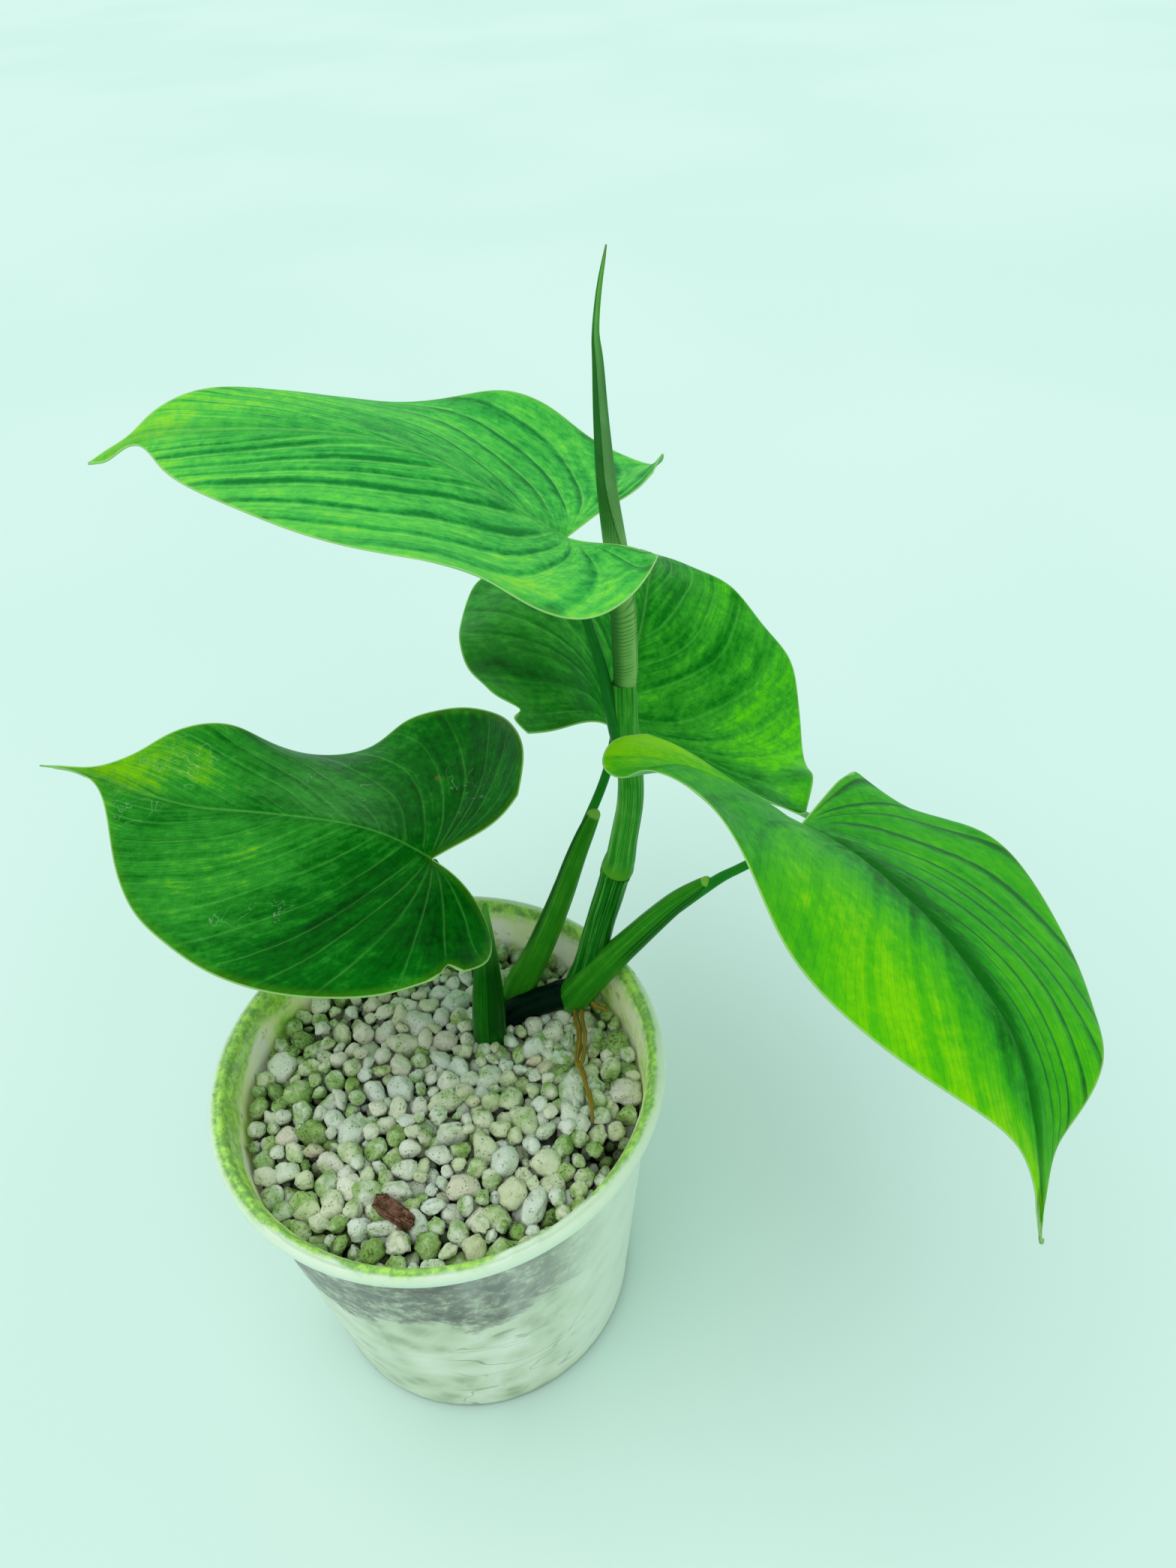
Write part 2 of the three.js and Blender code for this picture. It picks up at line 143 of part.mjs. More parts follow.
function solid(g) {
  const bare = new THREE.BufferGeometry();
  bare.setAttribute('position', g.getAttribute('position'));
  if (g.index) bare.setIndex(g.index);
  const m = mergeVertices(bare, 1e-4);
  const tri = [];
  const index = m.index.array;
  for (let i = 0; i < index.length; i += 3) {
    const [a, b, c] = [index[i], index[i + 1], index[i + 2]];
    if (a !== b && b !== c && a !== c) tri.push(a, b, c);
  }
  const s = new wasm.Manifold(new wasm.Mesh({ numProp: 3, vertProperties: new Float32Array(m.getAttribute('position').array), triVerts: new Uint32Array(tri) }));
  return s;
}

// Largest connected body of a solid, as a three.js geometry.
function toGeometry(s) {
  const parts = s.decompose().sort((a, b) => Math.abs(b.volume()) - Math.abs(a.volume()));
  const mesh = parts[0].getMesh();
  const g = new THREE.BufferGeometry();
  const n = mesh.numProp;
  const pos = new Float32Array((mesh.vertProperties.length / n) * 3);
  for (let i = 0; i < pos.length / 3; i++) for (let k = 0; k < 3; k++) pos[i * 3 + k] = mesh.vertProperties[i * n + k];
  g.setAttribute('position', new THREE.BufferAttribute(pos, 3));
  g.setIndex(Array.from(mesh.triVerts));
  return g;
}

// Round member swept along a smooth centre line with a varying radius and domed ends.
function member(line, { sides = 12, steps = 2, grow = 0, ends = [0.62, 0.62] } = {}) {
  const pts = line.map(([x, y, z]) => new THREE.Vector3(x, y, z));
  const curve = new THREE.CatmullRomCurve3(pts, false, 'centripetal');
  const spans = line.length - 1;
  const vertices = [];
  const triangles = [];
  let normal = new THREE.Vector3(0, -1, 0);
  const rings = [];
  const total = spans * steps;
  for (let i = 0; i <= total; i++) {
    const u = i / total;
    const at = u * spans;
    const k = Math.min(Math.floor(at), spans - 1);
    const r = line[k][3] + (line[k + 1][3] - line[k][3]) * (at - k) + grow;
    const p = curve.getPoint(u);
    const t = curve.getTangent(u);
    rings.push([p, t, r]);
  }
  const cap = (p, t, r, sign, dome) => (dome < 0.2 ? [] : [0.92, 0.7].map((f, i) => [p.clone().addScaledVector(t, (sign * r * (i ? 0.8 : 0.45) * dome)), t, r * f]));
  const first = rings[0];
  const last = rings[rings.length - 1];
  const all = [...cap(first[0], first[1], first[2], -1, ends[0]).reverse(), ...rings, ...cap(last[0], last[1], last[2], 1, ends[1])];
  for (const [p, t, r] of all) {
    normal.addScaledVector(t, -normal.dot(t)).normalize();
    const side = new THREE.Vector3().crossVectors(t, normal);
    for (let j = 0; j < sides; j++) {
      const a = (2 * Math.PI * j) / sides;
      const v = p.clone().addScaledVector(normal, r * Math.cos(a)).addScaledVector(side, r * Math.sin(a));
      vertices.push([v.x, v.y, v.z]);
    }
  }
  const rows = all.length;
  for (let i = 0; i < rows - 1; i++) {
    for (let j = 0; j < sides; j++) {
      const a = i * sides + j;
      const b = i * sides + ((j + 1) % sides);
      triangles.push([a, b, b + sides], [a, b + sides, a + sides]);
    }
  }
  const start = first[0].clone().addScaledVector(first[1], -first[2] * ends[0]);
  const end = last[0].clone().addScaledVector(last[1], last[2] * ends[1]);
  vertices.push([start.x, start.y, start.z], [end.x, end.y, end.z]);
  const s = rows * sides;
  for (let j = 0; j < sides; j++) {
    triangles.push([s, (j + 1) % sides, j]);
    triangles.push([s + 1, (rows - 1) * sides + j, (rows - 1) * sides + ((j + 1) % sides)]);
  }
  return solid(geometry(vertices, triangles));
}

// Closed leaf blade of even thickness on both sides of a point net.
function blade(net) {
  const rows = net.length;
  const cols = 11;
  const P = net.map((row) => Array.from({ length: cols }, (_, j) => new THREE.Vector3(row[3 * j], row[3 * j + 1], row[3 * j + 2])));
  const mid = 5;
  const id = new Map();
  const points = [];
  const key = (i, j) => {
    // the notch rows share the stalk point; the last row is the tip
    if (j === mid && i < 4) i = 4;
    if (i === rows - 1) j = mid;
    return i * cols + j;
  };
  for (let i = 0; i < rows; i++) for (let j = 0; j < cols; j++) {
    const k = key(i, j);
    if (!id.has(k)) { id.set(k, points.length); points.push(P[Math.floor(k / cols)][k % cols].clone()); }
  }
  const at = (i, j) => id.get(key(i, j));
  const faces = [];
  for (let i = 0; i < rows - 1; i++) for (let j = 0; j < cols - 1; j++) {
    const [a, b, c, d] = [at(i, j), at(i, j + 1), at(i + 1, j + 1), at(i + 1, j)];
    for (const f of [[a, b, c], [a, c, d]]) if (new Set(f).size === 3) faces.push(f);
  }
  const normals = points.map(() => new THREE.Vector3());
  for (const [a, b, c] of faces) {
    const n = new THREE.Vector3().crossVectors(points[b].clone().sub(points[a]), points[c].clone().sub(points[a]));
    for (const k of [a, b, c]) normals[k].add(n);
  }
  normals.forEach((n) => n.normalize());
  const up = normals.reduce((s, n) => s + n.z, 0) > 0 ? 1 : -1;
  const count = points.length;
  const vertices = [];
  for (const s of [1, -1]) points.forEach((p, k) => {
    const v = p.clone().addScaledVector(normals[k], (s * BLADE) / 2);
    vertices.push([v.x, v.y, v.z]);
  });
  const triangles = [];
  const edges = new Map();
  for (const [a, b, c] of faces) {
    triangles.push([a, b, c], [count + a, count + c, count + b]);
    for (const [p, q] of [[a, b], [b, c], [c, a]]) {
      const rev = `${q}_${p}`;
      if (edges.has(rev)) edges.delete(rev); else edges.set(`${p}_${q}`, [p, q]);
    }
  }
  for (const [p, q] of edges.values()) triangles.push([q, p, count + p], [q, count + p, count + q]);
  const s = solid(geometry(vertices, triangles));
  return { s, up };
}

function random(seed) {
  let t = seed;
  return () => { t = (t * 1664525 + 1013904223) >>> 0; return t / 4294967296; };
}

const root = new THREE.Group();
root.name = 'potted_philodendron';
function add(name, geom, look) {
  const [colour, roughness, metalness] = COLOURS[look];
  geom.computeVertexNormals();
  const mesh = new THREE.Mesh(geom, new THREE.MeshStandardMaterial({ color: colour, roughness, metalness }));
  mesh.name = name;
  root.add(mesh);
}

// ---- pot: thin tapered cup with a rolled lip --------------------------------
const innerTop = BODY_TOP_RADIUS - WALL;
const potProfile = [
  [0, 0], [BASE_RADIUS - 0.8, 0], [BASE_RADIUS, 0.8], [BODY_TOP_RADIUS, POT_HEIGHT - 4.2], [BODY_TOP_RADIUS + 1.6, POT_HEIGHT - 3.7],
  [RIM_RADIUS - 0.4, POT_HEIGHT - 2.6], [RIM_RADIUS, POT_HEIGHT - 1.5], [RIM_RADIUS - 0.5, POT_HEIGHT - 0.4], [RIM_RADIUS - 1.6, POT_HEIGHT],
  [RIM_RADIUS - 2.9, POT_HEIGHT - 0.3], [RIM_RADIUS - 3.7, POT_HEIGHT - 1.1], [innerTop, POT_HEIGHT - 2.6],
  [BASE_RADIUS - WALL + 0.1, FLOOR + 1.0], [BASE_RADIUS - WALL - 1.0, FLOOR], [0, FLOOR],
].map(([r, z]) => new THREE.Vector2(r, z));
const potLathe = new THREE.LatheGeometry(potProfile, POT_SEGMENTS);
potLathe.rotateX(Math.PI / 2);
let pot = solid(potLathe);
for (const [x, y] of LUGS) {
  const lug = new THREE.BoxGeometry(4.4, 1.6, 1.6);
  lug.rotateZ(Math.atan2(y, x) + Math.PI / 2);
  const k = (RIM_RADIUS - 1.8) / Math.hypot(x, y);
  lug.translate(x * k, y * k, POT_HEIGHT - 0.1);
  pot = pot.add(solid(lug));
}

// ---- plant -------------------------------------------------------------------
const lowLeft = { make: (grow) => member(PETIOLE_LOW_LEFT, { grow }).add(member(PETIOLE_LOW_LEFT_END, { sides: 10, grow })) };
const rear = { make: (grow) => member(PETIOLE_REAR, { grow }).add(member(PETIOLE_REAR_END, { sides: 10, grow })) };
const right = { make: (grow) => member(PETIOLE_RIGHT, { grow }).add(member(PETIOLE_RIGHT_END, { sides: 10, grow })) };
const rhizomeGrown = member(RHIZOME, { grow: GAP });
const rightGrown = right.make(GAP);
const petioleRight = right.make(0);
const rhizome = member(RHIZOME).subtract(rightGrown);
const petioleRear = rear.make(0).subtract(rhizomeGrown);
const petioleLowLeft = lowLeft.make(0).subtract(rhizomeGrown).subtract(rear.make(GAP));
const mainStem = member(MAIN_STEM, { ends: [0.62, 0.04] }).subtract(rightGrown);
const upper = member(UPPER_SHEATH, { ends: [0.04, 0.04] }).add(member(PETIOLE_TOP_LEFT, { sides: 10 }));
const spear = member(SPEAR, { ends: [0.04, 0.62] });
const rootFront = member(ROOT_FRONT, { sides: 8, steps: 2 }).subtract(rightGrown).subtract(rhizomeGrown);
const rootSide = member(ROOT_SIDE, { sides: 8, steps: 2 }).subtract(rightGrown);
const rootStub = member(ROOT_STUB, { sides: 8, steps: 2 }).subtract(rightGrown);

// ---- gravel bed: bumpy plug that fills the pot ----------------------------------
const rnd = random(41);
function bedRadius(z) { return (BASE_RADIUS - WALL + 0.1) + ((innerTop - BASE_RADIUS + WALL - 0.1) * (z - FLOOR - 1)) / (POT_HEIGHT - 3.6 - FLOOR) - GAP - 0.15; }
const bedVertices = [];
const bedTriangles = [];
const RINGS = 6;
const SPOKES = 28;
bedVertices.push([0, 0, BED_TOP]);
for (let i = 1; i <= RINGS; i++) for (let j = 0; j < SPOKES; j++) {
  const a = (2 * Math.PI * (j + (i % 2) * 0.5)) / SPOKES;
  const edge = i === RINGS;
  const r = (bedRadius(BED_TOP) * i) / RINGS * (edge ? 1 : 0.97 + 0.06 * rnd());
  bedVertices.push([r * Math.cos(a), r * Math.sin(a), BED_TOP + (edge ? 0 : BED_BUMP * (2 * rnd() - 1))]);
}
const low = FLOOR + 1.4;
for (let j = 0; j < SPOKES; j++) {
  const a = (2 * Math.PI * (j + (RINGS % 2) * 0.5)) / SPOKES;
  bedVertices.push([bedRadius(low) * Math.cos(a), bedRadius(low) * Math.sin(a), low]);
}
bedVertices.push([0, 0, low]);
for (let j = 0; j < SPOKES; j++) {
  const n = (j + 1) % SPOKES;
  bedTriangles.push([0, 1 + j, 1 + n]);
  for (let i = 0; i < RINGS - 1; i++) {
    const a = 1 + i * SPOKES;
    const b = a + SPOKES;
    if (i % 2 === 0) bedTriangles.push([a + j, b + j, b + n], [a + j, b + n, a + n]);
    else bedTriangles.push([a + j, b + j, a + n], [a + n, b + j, b + n]);
  }
  const top = 1 + (RINGS - 1) * SPOKES;
  const bottom = top + SPOKES;
  bedTriangles.push([top + j, bottom + j, bottom + n], [top + j, bottom + n, top + n]);
  bedTriangles.push([bottom + SPOKES, bottom + n, bottom + j]);
}
let bed = solid(geometry(bedVertices, bedTriangles));
for (const g of [rhizomeGrown, rightGrown, lowLeft.make(GAP), rear.make(GAP)]) bed = bed.subtract(g);

// ---- loose pumice stones ---------------------------------------------------------
const stones = [];
const plantFoot = [...RHIZOME, ...PETIOLE_LOW_LEFT, ...PETIOLE_REAR, ...PETIOLE_RIGHT, ...MAIN_STEM, ...ROOT_FRONT, ...ROOT_SIDE, ...ROOT_STUB].filter((p) => p[2] < 90);
const dense = [];
for (const line of [RHIZOME, ROOT_FRONT, ROOT_SIDE, ROOT_STUB]) for (let i = 0; i < line.length - 1; i++) for (let k = 0; k <= 6; k++) dense.push([0, 1, 2, 3].map((c) => line[i][c] + ((line[i + 1][c] - line[i][c]) * k) / 6));
const rnd2 = random(7);
for (let tries = 0; tries < 6000 && stones.length < STONE_COUNT; tries++) {
  const r = STONE_MIN + (STONE_MAX - STONE_MIN) * rnd2();
  const a = 2 * Math.PI * rnd2();
  const d = (bedRadius(BED_TOP) - r * 1.25 - 0.8) * Math.sqrt(rnd2());
  const [x, y] = [d * Math.cos(a), d * Math.sin(a)];
  if (stones.some((s) => Math.hypot(s.x - x, s.y - y) < (s.r + r) * 1.18 + 0.4)) continue;
  if ([...plantFoot, ...dense].some((p) => Math.hypot(p[0] - x, p[1] - y) < p[3] + r * 1.25 + 0.6)) continue;
  stones.push({ x, y, r });
}

function stone({ x, y, r }, k) {
  const q = random(100 + k * 17);
  const g = mergeVertices((() => { const i = new THREE.IcosahedronGeometry(1, 1); i.deleteAttribute('normal'); i.deleteAttribute('uv'); return i; })(), 1e-4);
  const p = g.getAttribute('position');
  const turn = new THREE.Quaternion().setFromEuler(new THREE.Euler(q() * 0.5 - 0.25, q() * 0.5 - 0.25, q() * 6.283));
  const size = new THREE.Vector3(1.12, 0.92, 0.68).multiplyScalar(r);
  let lowest = 1e9;
  for (let i = 0; i < p.count; i++) {
    const v = new THREE.Vector3().fromBufferAttribute(p, i).multiplyScalar(1 + 0.1 * (q() - 0.5)).multiply(size).applyQuaternion(turn);
    lowest = Math.min(lowest, v.z);
    p.setXYZ(i, v.x, v.y, v.z);
  }
  g.translate(x, y, BED_TOP + BED_BUMP + GAP - lowest);
  return g;
}

const CHIP = [-9.0, -29.2];   // bark chip among the stones
const chipShape = new THREE.Shape([[-4.7, -1.2], [-2.2, -1.9], [3.2, -1.6], [4.8, -0.5], [4.3, 1.2], [0.6, 1.9], [-4.2, 1.4]].map(([x, y]) => new THREE.Vector2(x, y)));
const chip = new THREE.ExtrudeGeometry(chipShape, { depth: 2.6, bevelEnabled: false });

// ---- assembly --------------------------------------------------------------------
add('pot', toGeometry(pot), 'pot');
add('gravel_bed', toGeometry(bed), 'gravel');
const keep = stones.filter((s) => Math.hypot(s.x - CHIP[0], s.y - CHIP[1]) > 5.0 + s.r * 1.2);
keep.forEach((s, k) => add(`pumice_stone_${String(k + 1).padStart(2, '0')}`, toGeometry(solid(stone(s, k))), 'stone'));
chip.rotateZ(-0.64);
chip.translate(CHIP[0], CHIP[1], BED_TOP + BED_BUMP + GAP);
add('bark_chip', toGeometry(solid(chip)), 'bark');
add('rhizome', toGeometry(rhizome), 'rhizome');
add('main_stem', toGeometry(mainStem), 'stem');
add('upper_sheath_and_petiole', toGeometry(upper), 'sheath');
add('rolled_new_leaf', toGeometry(spear), 'spear');
add('petiole_low_left', toGeometry(petioleLowLeft), 'petiole');
add('petiole_rear', toGeometry(petioleRear), 'petiole');
add('petiole_right', toGeometry(petioleRight), 'petiole');
for (const name of Object.keys(NETS)) {
  const { s } = blade(NETS[name]);
  add(name, toGeometry(s), name);
}
add('aerial_root_front', toGeometry(rootFront), 'root');
add('aerial_root_side', toGeometry(rootSide), 'root');
add('root_stub', toGeometry(rootStub), 'root');

export default root;
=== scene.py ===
import math

import bmesh
import bpy
import numpy as np
from mathutils import Matrix, Vector, noise


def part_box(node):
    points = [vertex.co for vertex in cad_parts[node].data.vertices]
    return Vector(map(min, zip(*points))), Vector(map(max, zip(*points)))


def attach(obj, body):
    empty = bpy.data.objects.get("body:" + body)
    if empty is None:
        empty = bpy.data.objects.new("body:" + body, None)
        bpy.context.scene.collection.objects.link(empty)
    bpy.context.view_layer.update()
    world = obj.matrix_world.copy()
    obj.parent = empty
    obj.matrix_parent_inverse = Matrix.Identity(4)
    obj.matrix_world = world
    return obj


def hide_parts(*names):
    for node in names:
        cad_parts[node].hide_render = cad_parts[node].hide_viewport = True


# Potted philodendron. Tables are in millimetres, meshes in metres, in the part's frame.
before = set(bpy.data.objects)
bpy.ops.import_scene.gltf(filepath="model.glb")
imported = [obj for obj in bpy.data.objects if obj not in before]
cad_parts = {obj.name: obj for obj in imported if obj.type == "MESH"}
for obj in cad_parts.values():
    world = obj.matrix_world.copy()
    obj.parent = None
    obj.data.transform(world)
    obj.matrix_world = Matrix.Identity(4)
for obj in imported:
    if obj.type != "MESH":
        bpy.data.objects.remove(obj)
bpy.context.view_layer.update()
scene = bpy.context.scene
MM = 0.001


# ---------------------------------------------------------------------------
# camera, floor, light
# ---------------------------------------------------------------------------
def build_camera():
    p, r = math.radians(41.20), math.radians(-3.73)
    right0, up0, fwd = Vector((1, 0, 0)), Vector((0, math.sin(p), math.cos(p))), Vector((0, math.cos(p), -math.sin(p)))
    right = math.cos(r) * right0 + math.sin(r) * up0
    up = -math.sin(r) * right0 + math.cos(r) * up0
    data = bpy.data.cameras.new("camera")
    data.sensor_fit = "VERTICAL"
    data.sensor_height = 36.0
    data.sensor_width = 36.0
    data.lens = 1510 / 2091 * 36
    data.clip_start = 0.01
    cam = bpy.data.objects.new("camera", data)
    m = Matrix((right, up, -fwd)).transposed().to_4x4()
    m.translation = Vector((0.0369, -0.1495, 0.2984))
    cam.matrix_world = m
    scene.collection.objects.link(cam)
    scene.camera = cam


def aim(obj, at):
    obj.rotation_euler = (Vector(at) - obj.location).to_track_quat("-Z", "Y").to_euler()


def light(name, loc, at, size, power, colour):
    data = bpy.data.lights.new(name, "AREA")
    data.shape = "DISK"
    data.size = size
    data.energy = power
    data.color = colour
    o = bpy.data.objects.new(name, data)
    o.location = loc
    scene.collection.objects.link(o)
    aim(o, at)
    return o


# ---------------------------------------------------------------------------
# mesh helpers
# ---------------------------------------------------------------------------
def mesh_object(name, verts, faces, attrs=None, mat=None, weld=0.0, smooth=True):
    me = bpy.data.meshes.new(name)
    me.from_pydata([tuple(v) for v in np.asarray(verts)], [], [tuple(int(i) for i in f) for f in faces])
    for key, values in (attrs or {}).items():
        a = me.attributes.new(key, "FLOAT", "POINT")
        a.data.foreach_set("value", np.asarray(values, dtype=np.float32).ravel())
    if weld:
        bm = bmesh.new()
        bm.from_mesh(me)
        bmesh.ops.remove_doubles(bm, verts=bm.verts, dist=weld)
        bmesh.ops.dissolve_degenerate(bm, dist=weld * 0.2, edges=bm.edges)
        loose = [v for v in bm.verts if not v.link_faces]
        bmesh.ops.delete(bm, geom=loose, context="VERTS")
        bm.to_mesh(me)
        bm.free()
    me.update()
    me.polygons.foreach_set("use_smooth", np.full(len(me.polygons), smooth))
    o = bpy.data.objects.new(name, me)
    scene.collection.objects.link(o)
    if mat:
        me.materials.append(mat)
    return o


def spline(y, t):
    """Natural cubic spline through y at 0, 1, 2..., sampled at t. y may have any trailing shape."""
    y = np.asarray(y, float)
    n = len(y)
    a = np.zeros((n, n))
    b = np.zeros_like(y)
    a[0, 0] = a[-1, -1] = 1
    for i in range(1, n - 1):
        a[i, i - 1 : i + 2] = (1, 4, 1)
        b[i] = 6 * (y[i + 1] - 2 * y[i] + y[i - 1])
    m = np.linalg.solve(a, b.reshape(n, -1)).reshape(y.shape)
    i = np.clip(np.floor(t).astype(int), 0, n - 2)
    u = (t - i).reshape((-1,) + (1,) * (y.ndim - 1))
    return (1 - u) * y[i] + u * y[i + 1] + ((1 - u) ** 3 - (1 - u)) * m[i] / 6 + (u**3 - u) * m[i + 1] / 6


def smoothstep(a, b, x):
    t = np.clip((x - a) / (b - a), 0, 1)
    return t * t * (3 - 2 * t)


def frames(line, steps):
    """Points, radii, frame vectors and lengths along a centre line of x, y, z, radius."""
    line = np.asarray(line, float)
    t = np.linspace(0, len(line) - 1, (len(line) - 1) * steps + 1)
    s = spline(line, t)
    p, r = s[:, :3], np.interp(t, np.arange(len(line)), line[:, 3])
    tan = np.gradient(p, axis=0)
    tan /= np.linalg.norm(tan, axis=1)[:, None]
    nrm = np.zeros_like(p)
    n = np.array((0.0, -1.0, 0.0))
    for i, d in enumerate(tan):
        n = n - d * (n @ d)
        n /= np.linalg.norm(n)
        nrm[i] = n
    side = np.cross(tan, nrm)
    length = np.concatenate([[0], np.cumsum(np.linalg.norm(np.diff(p, axis=0), axis=1))])
    return p, r, tan, nrm, side, length


def tube(name, line, mat, sides=32, steps=8, shape=None, dome=(0.6, 0.6)):
    """Round member with domed ends. shape(length, angle, radius, total) gives the wall's radius in mm.
    Angle 0 looks to -Y. Attributes: along (mm), turn (radians), part (0..1)."""
    p, r, tan, nrm, side, length = frames(line, steps)
    total = length[-1]
    ang = np.linspace(0, 2 * np.pi, sides, endpoint=False)
    rings, along = [], []

    def ring(i, f, shift):
        rad = shape(length[i], ang, r[i], total) if shape else np.full(sides, r[i])
        rad = np.asarray(rad) * f
        c = p[i] + tan[i] * shift
        rings.append(c + nrm[i] * (rad * np.cos(ang))[:, None] + side[i] * (rad * np.sin(ang))[:, None])
        along.append(length[i] + shift)

    curve = [(math.cos(a), math.sin(a)) for a in np.linspace(0, np.pi / 2 * 0.94, 6)]
    if dome[0]:
        for f, s in reversed(curve[1:]):
            ring(0, f, -s * r[0] * dome[0])
    for i in range(len(p)):
        ring(i, 1.0, 0.0)
    if dome[1]:
        for f, s in curve[1:]:
            ring(len(p) - 1, f, s * r[-1] * dome[1])
    v = np.concatenate(rings + [[rings[0].mean(0)], [rings[-1].mean(0)]])
    n = len(rings)
    faces = []
    for i in range(n - 1):
        for j in range(sides):
            a, b = i * sides + j, i * sides + (j + 1) % sides
            faces.append((a, b, b + sides, a + sides))
    for j in range(sides):
        faces.append((n * sides, (j + 1) % sides, j))
        faces.append((n * sides + 1, (n - 1) * sides + j, (n - 1) * sides + (j + 1) % sides))
    al = np.concatenate([np.repeat(along, sides), [along[0], along[-1]]])
    tu = np.concatenate([np.tile(ang, n), [0, 0]])
    return mesh_object(name, v * MM, faces, {"along": al, "turn": tu, "part": al / total}, mat)


# ---------------------------------------------------------------------------
# material helpers
# ---------------------------------------------------------------------------
def srgb(c):
    """#rrggbb or 0..255 triple to linear RGBA."""
    if isinstance(c, str):
        c = [int(c[i : i + 2], 16) for i in (1, 3, 5)]
    return tuple(((v / 255) / 12.92 if v / 255 <= 0.04045 else ((v / 255 + 0.055) / 1.055) ** 2.4) for v in c) + (1.0,)


class Nodes:
    """Short spelling for building a node material."""

    def __init__(self, name, rough=0.5, spec=0.5):
        self.mat = bpy.data.materials.new(name)
        self.mat.use_nodes = True
        self.t = self.mat.node_tree
        self.bsdf = self.t.nodes["Principled BSDF"]
        self.bsdf.inputs["Roughness"].default_value = rough
        self.bsdf.inputs["Specular IOR Level"].default_value = spec
        self.where = self.new("ShaderNodeTexCoord").outputs["Object"]

    def new(self, kind, **props):
        n = self.t.nodes.new(kind)
        for k, v in props.items():
            setattr(n, k, v)
        return n

    def put(self, socket, value):
        if isinstance(value, bpy.types.NodeSocket):
            self.t.links.new(value, socket)
        else:
            socket.default_value = value

    def attr(self, name):
        n = self.new("ShaderNodeAttribute")
        n.attribute_name = name
        return n.outputs["Fac"]

    def math(self, op, a, b=None, c=None, clamp=False):
        n = self.new("ShaderNodeMath", operation=op, use_clamp=clamp)
        self.put(n.inputs[0], a)
        if b is not None:
            self.put(n.inputs[1], b)
        if c is not None:
            self.put(n.inputs[2], c)
        return n.outputs[0]

    def add(self, a, b):
        return self.math("ADD", a, b)

    def sub(self, a, b):
        return self.math("SUBTRACT", a, b)

    def mul(self, a, b):
        return self.math("MULTIPLY", a, b)

    def smooth(self, x, lo, hi, out0=0.0, out1=1.0):
        n = self.new("ShaderNodeMapRange", interpolation_type="SMOOTHSTEP")
        for s, v in zip(n.inputs, (x, lo, hi, out0, out1)):
            self.put(s, v)
        return n.outputs[0]

    def noise(self, scale, detail=3.0, rough=0.5, vec=None, dist=0.0, colour=False):
        n = self.new("ShaderNodeTexNoise")
        self.put(n.inputs["Vector"], vec or self.where)
        n.inputs["Scale"].default_value = scale
        n.inputs["Detail"].default_value = detail
        n.inputs["Roughness"].default_value = rough
        n.inputs["Distortion"].default_value = dist
        return n.outputs["Color" if colour else "Fac"]

    def voronoi(self, scale, vec=None, feature="F1", rand=1.0, out="Distance"):
        n = self.new("ShaderNodeTexVoronoi", feature=feature)
        self.put(n.inputs["Vector"], vec or self.where)
        n.inputs["Scale"].default_value = scale
        n.inputs["Randomness"].default_value = rand
        return n.outputs[out]

    def vec(self, x, y, z):
        n = self.new("ShaderNodeCombineXYZ")
        for s, v in zip(n.inputs, (x, y, z)):
            self.put(s, v)
        return n.outputs[0]

    def xyz(self):
        n = self.new("ShaderNodeSeparateXYZ")
        self.put(n.inputs[0], self.where)
        return n.outputs

    def mix(self, fac, a, b, blend="MIX"):
        n = self.new("ShaderNodeMix", data_type="RGBA", blend_type=blend)
        self.put(n.inputs[0], fac)
        for s, v in ((n.inputs[6], a), (n.inputs[7], b)):
            self.put(s, srgb(v) if isinstance(v, str) else v)
        return n.outputs[2]

    def ramp(self, fac, stops, ease="LINEAR"):
        n = self.new("ShaderNodeValToRGB")
        n.color_ramp.interpolation = ease
        e = n.color_ramp.elements
        while len(e) < len(stops):
            e.new(0.5)
        for el, (pos, col) in zip(e, stops):
            el.position = pos
            el.color = srgb(col) if isinstance(col, str) else ((col, col, col, 1) if isinstance(col, (int, float)) else col)
        self.put(n.inputs[0], fac)
        return n.outputs[0]

    def bump(self, height, strength=0.3, dist=0.0003, normal=None):
        n = self.new("ShaderNodeBump")
        n.inputs["Strength"].default_value = strength
        n.inputs["Distance"].default_value = dist
        self.put(n.inputs["Height"], height)
        if normal is not None:
            self.put(n.inputs["Normal"], normal)
        return n.outputs[0]

    def finish(self, colour=None, rough=None, normal=None, **sockets):
        if colour is not None:
            self.put(self.bsdf.inputs["Base Color"], colour)
        if rough is not None:
            self.put(self.bsdf.inputs["Roughness"], rough)
        if normal is not None:
            self.put(self.bsdf.inputs["Normal"], normal)
        for k, v in sockets.items():
            self.bsdf.inputs[k.replace("_", " ")].default_value = v
        return self.mat
